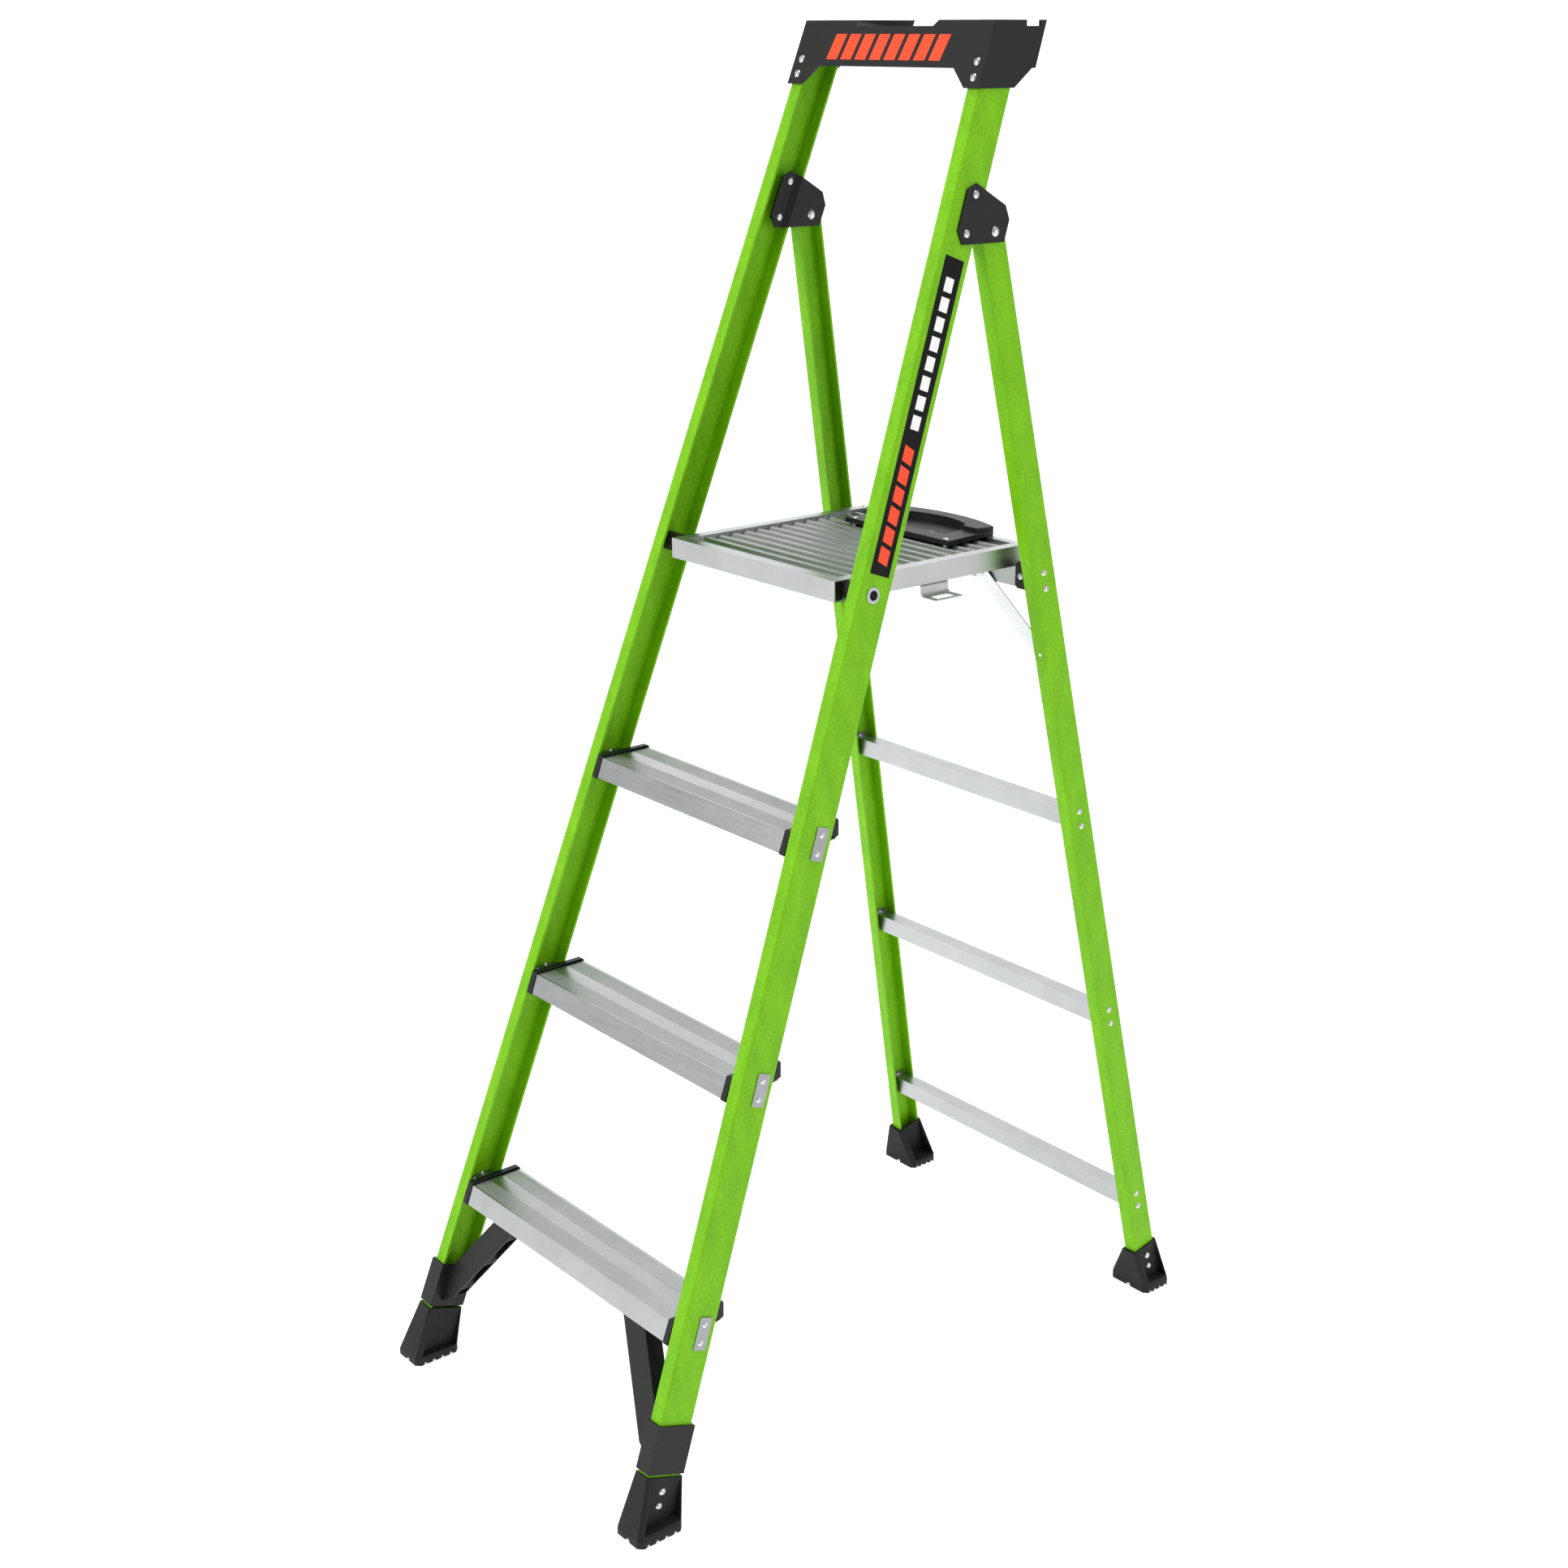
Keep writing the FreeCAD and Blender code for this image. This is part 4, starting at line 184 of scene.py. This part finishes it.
# ---------------------------------------------------------------- rails
# Pultruded glass-fibre channels: lime polyester resin over a surface veil, which leaves a fine
# speckle and cloudy streaks along the rail under a satin skin.

def object_point(tree, stretch=(1, 1, 1)):
    """Object coordinates, scaled."""
    place = node(tree, "ShaderNodeTexCoord").outputs["Object"]
    return node(tree, "ShaderNodeMapping", links={"Vector": place, "Scale": stretch}).outputs[0]


def fibreglass():
    """Lime resin: cloudy streaks along the rail, then a fine pale speckle with a little bump."""
    material, tree, shader = new_material("lime pultruded fibreglass", Specular_IOR_Level=0.2)
    speckle = node(tree, "ShaderNodeTexNoise", links={
        "Vector": object_point(tree), "Scale": 330.0, "Detail": 4.0, "Roughness": 0.65})
    cloud = node(tree, "ShaderNodeTexNoise", links={
        "Vector": object_point(tree, (1, 1, 0.35)), "Scale": 46.0, "Detail": 3.0})
    shade = node(tree, "ShaderNodeMix", {"data_type": "RGBA"}, {
        "Factor": cloud.outputs["Fac"], "A": linear("#67a902"), "B": linear("#88cd06")})
    grain = node(tree, "ShaderNodeMapRange", links={
        "Value": speckle.outputs["Fac"], "From Min": 0.32, "From Max": 0.68,
        "To Min": 0.0, "To Max": 1.0})
    mixed = node(tree, "ShaderNodeMix", {"data_type": "RGBA", "blend_type": "MULTIPLY"}, {
        "Factor": grain.outputs["Result"], "A": shade.outputs["Result"], "B": linear("#d6e2bc")})
    bump = node(tree, "ShaderNodeBump", links={
        "Height": speckle.outputs["Fac"], "Strength": 0.15, "Distance": 0.3 * MM})
    gloss = node(tree, "ShaderNodeMapRange", links={
        "Value": speckle.outputs["Fac"], "To Min": 0.42, "To Max": 0.58})
    feed(tree, shader, Base_Color=mixed.outputs["Result"], Roughness=gloss.outputs["Result"],
         Normal=bump.outputs["Normal"])
    return material


def dress(material, *names):
    """Give CAD nodes one material."""
    for name in names:
        NODES[name].data.materials.clear()
        NODES[name].data.materials.append(material)


def both(stem):
    """The right and left names of a mirrored pair."""
    return [stem + "_right", stem + "_left"]


lime = fibreglass()
dress(lime, *both("front_rail"), *both("rear_rail"))


# ---------------------------------------------------------------- treads, rungs and bars
# Extruded aluminium with a satin mill finish: faint die lines run along each bar, and a fine
# grain breaks up its reflections.

def aluminium(name, stretch, tone="#a6a8a9", rough=0.34, worn="#b6b8b9"):
    """Metal with die lines along the axis whose stretch is small, and slow dull patches."""
    material, tree, shader = new_material(name, Metallic=1.0)
    lines = node(tree, "ShaderNodeTexNoise", links={
        "Vector": object_point(tree, stretch), "Scale": 900.0, "Detail": 2.0})
    grain = node(tree, "ShaderNodeTexNoise", links={
        "Vector": object_point(tree), "Scale": 1400.0, "Detail": 2.0})
    total = node(tree, "ShaderNodeMath", {"operation": "ADD"}, {
        0: lines.outputs["Fac"], 1: grain.outputs["Fac"]})
    gloss = node(tree, "ShaderNodeMapRange", links={
        "Value": total.outputs["Value"], "From Min": 0.7, "From Max": 1.3,
        "To Min": rough - 0.07, "To Max": rough + 0.07})
    bump = node(tree, "ShaderNodeBump", links={
        "Height": total.outputs["Value"], "Strength": 0.12, "Distance": 0.15 * MM})
    dull = node(tree, "ShaderNodeTexNoise", links={
        "Vector": object_point(tree), "Scale": 25.0, "Detail": 2.0})
    shade = node(tree, "ShaderNodeMix", {"data_type": "RGBA"}, {
        "Factor": dull.outputs["Fac"], "A": linear(tone), "B": linear(worn)})
    feed(tree, shader, Base_Color=shade.outputs["Result"], Roughness=gloss.outputs["Result"],
         Normal=bump.outputs["Normal"])
    return material


across_metal = aluminium("aluminium drawn across", (0.02, 1, 1))
back_metal = aluminium("aluminium drawn to the rear", (1, 0.02, 1), "#abadae")
plate_metal = aluminium("pressed aluminium plate", (1, 1, 0.05), "#8b8d8e", 0.4, "#999b9c")
bright_metal = aluminium("bright aluminium strap", (1, 1, 0.05), "#c2c4c6", 0.25, "#d2d4d6")
dress(across_metal, "tread_1", "tread_2", "tread_3", "rear_rung_1", "rear_rung_2", "rear_rung_3",
      "rear_crossbar", "platform_front_bar", "platform_rear_bar")
dress(back_metal, *both("platform_side_rail"), "platform_pivot_tubes")
dress(plate_metal, "step_brackets", "rung_brackets")
dress(bright_metal, *both("diagonal_strap"))


# ---------------------------------------------------------------- black mouldings
# Glass-filled nylon tread caps, knee braces, top cap and hand hold: black with a fine
# spark-eroded grain, and every moulded edge slightly rounded.

def moulding(name, tone, rough, scale, worn="#191919", shine=0.25):
    """A dark surface with fine pits: tone and worn are its two ends, scale sets the pits."""
    material, tree, shader = new_material(name, Specular_IOR_Level=shine)
    pits = node(tree, "ShaderNodeTexNoise", links={
        "Vector": object_point(tree), "Scale": scale, "Detail": 3.0})
    gloss = node(tree, "ShaderNodeMapRange", links={
        "Value": pits.outputs["Fac"], "From Min": 0.3, "From Max": 0.7,
        "To Min": rough - 0.08, "To Max": rough + 0.08})
    bump = node(tree, "ShaderNodeBump", links={
        "Height": pits.outputs["Fac"], "Strength": 0.35, "Distance": 0.25 * MM})
    shade = node(tree, "ShaderNodeMix", {"data_type": "RGBA"}, {
        "Factor": pits.outputs["Fac"], "A": linear(tone), "B": linear(worn)})
    feed(tree, shader, Base_Color=shade.outputs["Result"], Roughness=gloss.outputs["Result"],
         Normal=bump.outputs["Normal"])
    return material


def round_edges(piece, radius, sharper_than):
    """Round the edges sharper than an angle in degrees, in two steps."""
    rounding = piece.modifiers.new("rounded edges", "BEVEL")
    rounding.width = radius
    rounding.segments = 2
    rounding.limit_method = "ANGLE"
    rounding.angle_limit = math.radians(sharper_than)
    rounding.harden_normals = True


def softened(name, body, material, radius):
    """A copy of a CAD piece, its triangles merged into faces and its sharp edges rounded."""
    source = NODES[name]
    mesh = source.data.copy()
    shape = bmesh.new()
    shape.from_mesh(mesh)
    shape.transform(source.matrix_world)
    bmesh.ops.remove_doubles(shape, verts=shape.verts, dist=2e-6)
    bmesh.ops.dissolve_limit(shape, angle_limit=math.radians(0.4), verts=shape.verts,
                             edges=shape.edges)
    shape.to_mesh(mesh)
    shape.free()
    piece = placed(name + "_shown", mesh, material, 30)
    round_edges(piece, radius, 32)
    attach(piece, body)
    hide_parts(name)


nylon = moulding("black glass-filled nylon", "#121213", 0.45, 1300.0)
dress(nylon, "platform_bushes", "platform_bar_plugs", "hinge_spacers")
softened("top_cap", "front_frame", nylon, 1.4 * MM)
for name in both("knee_brace"):
    softened(name, "front_frame", nylon, 0.8 * MM)
for count in (1, 2, 3):
    for name in both(f"tread_cap_{count}"):
        softened(name, "front_frame", nylon, 0.6 * MM)
softened("platform_handle", "platform", nylon, 1.2 * MM)


# ---------------------------------------------------------------- feet
# Moulded rubber boots on the rail ends, duller than the nylon, with rounded rims and treads.

rubber = moulding("black boot rubber", "#101011", 0.6, 1000.0)
for name in both("front_boot"):
    softened(name, "front_frame", rubber, 0.9 * MM)
for name in both("rear_boot"):
    softened(name, "rear_frame", rubber, 0.9 * MM)


# ---------------------------------------------------------------- hinge and crossbar plates
# Pressed steel plates under black powder coat, riveted through the rails.

coat = moulding("black powder coat", "#101011", 0.5, 1700.0)
for name in both("hinge_plate_outer") + both("hinge_plate_inner"):
    softened(name, "front_frame", coat, 0.7 * MM)
for name in both("crossbar_bracket"):
    softened(name, "rear_frame", coat, 0.6 * MM)
softened("step_plates", "front_frame", plate_metal, 0.3 * MM)


# ---------------------------------------------------------------- rivets
# Plated blind rivets: a bright domed head with the small crater that the mandrel leaves.

def solids_of(name):
    """The corner points of each separate solid of a CAD node."""
    mesh = NODES[name].data
    points = np.empty(len(mesh.vertices) * 3)
    mesh.vertices.foreach_get("co", points)
    turn = np.array(NODES[name].matrix_world)
    points = points.reshape(-1, 3) @ turn[:3, :3].T + turn[:3, 3]
    loops = np.empty(len(mesh.loops), int)
    mesh.loops.foreach_get("vertex_index", loops)
    points, same = np.unique(points.round(7), axis=0, return_inverse=True)
    corners = same.reshape(-1)[loops].reshape(-1, 3)
    group = np.arange(len(points))
    while True:
        least = group[corners].min(1)
        settled = group.copy()
        for side in range(3):
            np.minimum.at(settled, corners[:, side], least)
        if (settled == group).all():
            return [points[group == label] for label in np.unique(group)]
        group = settled


def axis_of(points):
    """Centre and axis of a turned solid: the axis is the odd one of its three spreads."""
    centre = points.mean(0)
    spread, ways = np.linalg.eigh(np.cov((points - centre).T))
    return centre, ways[:, 2] if spread[1] - spread[0] < spread[2] - spread[1] else ways[:, 0]


def turned_rivet(points):
    """A rivet as a surface of revolution through the head, shank and tail of its CAD solid."""
    centre, axis = axis_of(points)
    along = (points - centre) @ axis
    radius = np.linalg.norm(points - centre - along[:, None] * axis, axis=1)
    middle = (along.min() + along.max()) / 2
    ends = []
    for way in (-1, 1):
        half = way * (along - middle) > 0
        wide = radius[half].max()
        rim = (way * along[half])[radius[half] > 0.97 * wide].min()
        tall = (way * along[half]).max() - rim
        ball = (wide ** 2 + tall ** 2) / (2 * tall)
        out = np.array([1.0, 0.97, 0.88, 0.75, 0.6, 0.46, 0.36])
        dome = rim + np.sqrt(ball ** 2 - (out * wide) ** 2) - (ball - tall)
        out = np.concatenate([out * wide, np.array([0.31, 0.26, 0.0]) * wide])
        dome = np.concatenate([dome, rim + tall * np.array([0.85, 0.45, 0.4])])
        ends.append((out, way * dome, way * rim))
    between = (along > ends[0][2] - 1e-6) & (along < ends[1][2] + 1e-6)
    shank = radius[between].min()
    out = np.concatenate([ends[0][0][::-1], [shank, shank], ends[1][0]])
    place = np.concatenate([ends[0][1][::-1], [ends[0][2], ends[1][2]], ends[1][1]])
    side = np.cross(axis, [0.3, 0.5, 0.8])
    side /= np.linalg.norm(side)
    turn = np.linspace(0, 2 * math.pi, 28, endpoint=False)[None, :, None]
    ring = np.cos(turn) * side + np.sin(turn) * np.cross(axis, side)
    return centre + place[:, None, None] * axis + out[:, None, None] * ring


def plated(name, tone, rough):
    """Plated steel, worn brighter in patches."""
    material, tree, shader = new_material(name, Metallic=1.0)
    wear = node(tree, "ShaderNodeTexNoise", links={
        "Vector": object_point(tree), "Scale": 600.0, "Detail": 2.0})
    gloss = node(tree, "ShaderNodeMapRange", links={
        "Value": wear.outputs["Fac"], "To Min": rough - 0.1, "To Max": rough + 0.1})
    shade = node(tree, "ShaderNodeMix", {"data_type": "RGBA"}, {
        "Factor": wear.outputs["Fac"], "A": linear(tone), "B": linear("#dcdce0")})
    feed(tree, shader, Base_Color=shade.outputs["Result"], Roughness=gloss.outputs["Result"])
    return material


zinc = plated("zinc-plated steel", "#b4b4b8", 0.25)
for name, body in (("step_rivets", "front_frame"), ("front_boot_rivets", "front_frame"),
                   ("rear_boot_rivets", "rear_frame"), ("hinge_rivets", "front_frame"),
                   ("rung_rivets", "rear_frame"), ("crossbar_rivets", "rear_frame"),
                   ("platform_rivets", "platform"), ("top_cap_rivets", "front_frame")):
    heads = grids_mesh(name, [turned_rivet(points) for points in solids_of(name)], closed=True)
    piece = placed(name + "_turned", heads, zinc, 40)
    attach(piece, body)
    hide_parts(name)
dress(zinc, "main_hinge_pins", "strap_rivets")


# ---------------------------------------------------------------- platform deck
# Pressed aluminium sheet with rounded ridges across it. Each ridge closes just short of the
# side rails, which leaves a dark gap at its end.

def thicken(piece, name, thickness, offset):
    """Give a sheet its thickness: offset -1 goes all inwards, 0 goes both ways."""
    sheet = piece.modifiers.new(name, "SOLIDIFY")
    sheet.thickness = thickness
    sheet.offset = offset


def ridged_deck():
    """Height above the sheet: a raised cosine to the power 0.7 across each ridge, times a
    quarter sine over the last 3 mm of its length."""
    spacing, half_share = 21.3 * MM, 0.44
    points = np.vstack(solids_of("platform_deck"))
    top = points[:, 2].max()
    base = points[:, 2].min() + 2.0 * MM
    crest = points[points[:, 2] > top - 0.1 * MM]
    ends = crest[:, 0].max()
    lines = np.unique(crest[:, 1].round(4))
    first, last = lines[:2].mean(), lines[-2:].mean()
    middles = np.linspace(first, last, round((last - first) / spacing) + 1)
    pitch = middles[1] - middles[0]
    start, stop = points[:, 1].min(), points[:, 1].max()
    wide = points[:, 0].max()
    around = np.linspace(-half_share, half_share, 17) * pitch
    rows = np.unique(np.concatenate([[start, stop]] + [middle + around for middle in middles]))
    rows = rows[(rows >= start) & (rows <= stop)]
    inner = np.linspace(-ends + 4 * MM, ends - 4 * MM, 25)
    edge = ends - np.linspace(0, 3.5, 8)[::-1] * MM
    columns = np.unique(np.concatenate([[-wide], -edge, inner, edge, [wide]]))
    offset = np.abs(rows[:, None] - middles[None, :]).min(1) / (half_share * pitch)
    ridge = (0.5 + 0.5 * np.cos(math.pi * np.clip(offset, 0, 1))) ** 0.7
    close = np.sin(math.pi / 2 * np.clip((ends - np.abs(columns)) / (3 * MM), 0, 1))
    grid = np.empty((len(rows), len(columns), 3))
    grid[..., 0] = columns[None, :]
    grid[..., 1] = rows[:, None]
    grid[..., 2] = base + (top - base) * ridge[:, None] * close[None, :]
    return grid


deck_metal = aluminium("aluminium deck sheet", (0.02, 1, 1), "#8e9190", 0.3, "#a0a3a2")
deck = placed("platform_deck_ridged", grids_mesh("platform_deck_ridged", [ridged_deck()]),
              deck_metal, 60)
if deck.data.polygons[0].normal.z < 0:
    deck.data.flip_normals()
thicken(deck, "sheet thickness", 1.6 * MM, -1)
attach(deck, "platform")
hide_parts("platform_deck")


# ---------------------------------------------------------------- side hooks
# Aluminium strips bent under the side rails: a leg, a round bend and an arm with a long slot,
# its outer edge turned up a little.

def bent_hook(side):
    """A strip along Y on a path in XZ: level, a 5 mm quarter bend down, a leg, a 6 mm quarter
    bend out, the level arm, then its turned-up edge; the quads inside the slot are left out."""
    solid = max(solids_of("platform_hooks"), key=lambda points: points[:, 0].mean())
    (inner, front, under), (outer, back, top) = solid.min(0), solid.max(0)
    half = 1.1 * MM
    knee = inner + 11.4 * MM
    quarter = np.linspace(0, math.pi / 2, 7)
    upper, lower = 3 * MM, 6 * MM
    path = np.vstack([
        [[inner, top - half]],
        np.stack([knee - upper + upper * np.sin(quarter),
                  top - half - upper + upper * np.cos(quarter)], 1),
        np.stack([knee + lower - lower * np.cos(quarter),
                  under + half + lower - lower * np.sin(quarter)], 1),
        [[knee + lower + 2 * MM, under + half]],
        [[outer - 6 * MM, under + half], [outer - 2.5 * MM, under + half],
         [outer - 1.3 * MM, under + 1.3 * MM]]])
    slot = len(path) - 4
    across = np.array([0, 3, 8, 9, 12, 22, 32, 37.5, 38.5, 43, 46.5]) * MM
    across = front + across * (back - front) / across[-1]
    grid = np.empty((len(path), len(across), 3))
    grid[..., 0] = side * path[:, :1]
    grid[..., 1] = across[None, :]
    grid[..., 2] = path[:, 1:]
    index = np.arange(grid.shape[0] * grid.shape[1]).reshape(grid.shape[:2])
    quads = np.stack([index[:-1, :-1], index[:-1, 1:], index[1:, 1:], index[1:, :-1]], -1)
    open_slot = np.zeros(quads.shape[:2], bool)
    open_slot[slot, 2:8] = True
    return grid.reshape(-1, 3), quads[~open_slot]


hook_metal = aluminium("aluminium hook strip", (1, 0.05, 1), "#b4b6b8", 0.3, "#c4c6c8")
hook_points, hook_quads = [], []
for side in (1, -1):
    points, quads = bent_hook(side)
    hook_quads.append((quads if side == 1 else quads[:, ::-1]) + len(points) * (side == -1))
    hook_points.append(points)
strip = bpy.data.meshes.new("platform_hooks_bent")
strip.from_pydata(np.vstack(hook_points).tolist(), [], np.vstack(hook_quads).tolist())
hooks = placed("platform_hooks_bent", strip, hook_metal, 40)
thicken(hooks, "strip thickness", 2.1 * MM, 0)
round_edges(hooks, 0.4 * MM, 50)
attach(hooks, "platform")
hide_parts("platform_hooks")


# ---------------------------------------------------------------- label and cap mark
# A black film on the right rail carries two runs of plain bars, and the cap's front face has a
# row of slanted ones.

def paint(name, tone, rough):
    """Flat print with a faint fleck."""
    material, tree, shader = new_material(name, Specular_IOR_Level=0.3)
    fleck = node(tree, "ShaderNodeTexNoise", links={
        "Vector": object_point(tree), "Scale": 900.0, "Detail": 2.0})
    gloss = node(tree, "ShaderNodeMapRange", links={
        "Value": fleck.outputs["Fac"], "To Min": rough - 0.06, "To Max": rough + 0.06})
    shade = node(tree, "ShaderNodeMix", {"data_type": "RGBA", "blend_type": "MULTIPLY"}, {
        "Factor": fleck.outputs["Fac"], "A": linear(tone), "B": linear("#f0f0f0")})
    feed(tree, shader, Base_Color=shade.outputs["Result"], Roughness=gloss.outputs["Result"])
    return material


def slanted_bars(name, origin, along, up, outward, spans, height, lean, thick, material):
    """Thin parallelogram plates on a plane: each span runs along it and leans with height."""
    low_edge, high_edge = spans[:, 0], spans[:, 1]
    corners = []
    for depth in (0.0, thick):
        for rise in (0.0, height):
            for edge in (low_edge, high_edge):
                shift = edge + rise * lean
                corners.append(origin + shift[:, None] * along + rise * up + depth * outward)
    points = np.stack(corners, 1).reshape(-1, 3)
    box = np.array([[0, 1, 3, 2], [4, 6, 7, 5], [0, 4, 5, 1], [2, 3, 7, 6], [0, 2, 6, 4],
                    [1, 5, 7, 3]])
    faces = (box[None] + 8 * np.arange(len(spans))[:, None, None]).reshape(-1, 4)
    mesh = bpy.data.meshes.new(name)
    mesh.from_pydata(points.tolist(), [], faces.tolist())
    piece = placed(name, with_outward_normals(mesh), material)
    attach(piece, "front_frame")


def even_spans(start, stop, count, share):
    """Equal bars over a length, each filling a share of its pitch."""
    pitch = (stop - start) / (count - 1 + share)
    first = start + pitch * np.arange(count)
    return np.stack([first, first + pitch * share], 1)


film = moulding("black label film", "#050505", 0.4, 2500.0, "#0a0a0a", 0.12)
orange = paint("orange-red print", "#f2481f", 0.45)
white = paint("white print", "#f2f2f2", 0.45)
dress(film, "rail_label")
label = np.vstack(solids_of("rail_label"))
label_centre = label.mean(0)
_, label_ways = np.linalg.eigh(np.cov((label - label_centre).T))
rail_up = label_ways[:, 2] * np.sign(label_ways[2, 2])
rail_out = label_ways[:, 0] * np.sign(label_ways[0, 0])
rail_back = label_ways[:, 1] * np.sign(label_ways[1, 1])
length = np.ptp((label - label_centre) @ rail_up)
width = np.ptp((label - label_centre) @ rail_back)
face = np.ptp((label - label_centre) @ rail_out) / 2
corner = label_centre + rail_out * (face - 0.02 * MM) - rail_up * length / 2
slanted_bars("rail_label_lower_bars", corner - rail_back * width * 0.26, rail_up, rail_back,
             rail_out, even_spans(16 * MM, length * 0.41, 6, 0.78), width * 0.52, -0.25,
             0.08 * MM, orange)
slanted_bars("rail_label_upper_bars", corner - rail_back * width * 0.22, rail_up, rail_back,
             rail_out, even_spans(length * 0.46, length - 24 * MM, 8, 0.72), width * 0.44, 0.0,
             0.08 * MM, white)

cap = np.vstack(solids_of("top_cap"))
front_slope = 0.3668  # the front frame's lean, run over rise
mark_drop = 46.4 * MM  # from the cap's top down to the mark's lower edge
cap_high = cap[:, 2].max()
face_y = (cap[:, 1] - front_slope * (cap[:, 2] - cap_high)).min()
lean_up = np.array([0, front_slope, 1.0]) / math.hypot(front_slope, 1)
lean_out = np.array([0, -1.0, front_slope]) / math.hypot(front_slope, 1)
mark_low = np.array([0, face_y - mark_drop * front_slope, cap_high - mark_drop])
slanted_bars("top_cap_bars", mark_low - lean_out * 0.02 * MM, np.array([1.0, 0, 0]), lean_up,
             lean_out, even_spans(-111 * MM, 95 * MM, 8, 0.74), 32 * MM, 0.25, 0.1 * MM, orange)
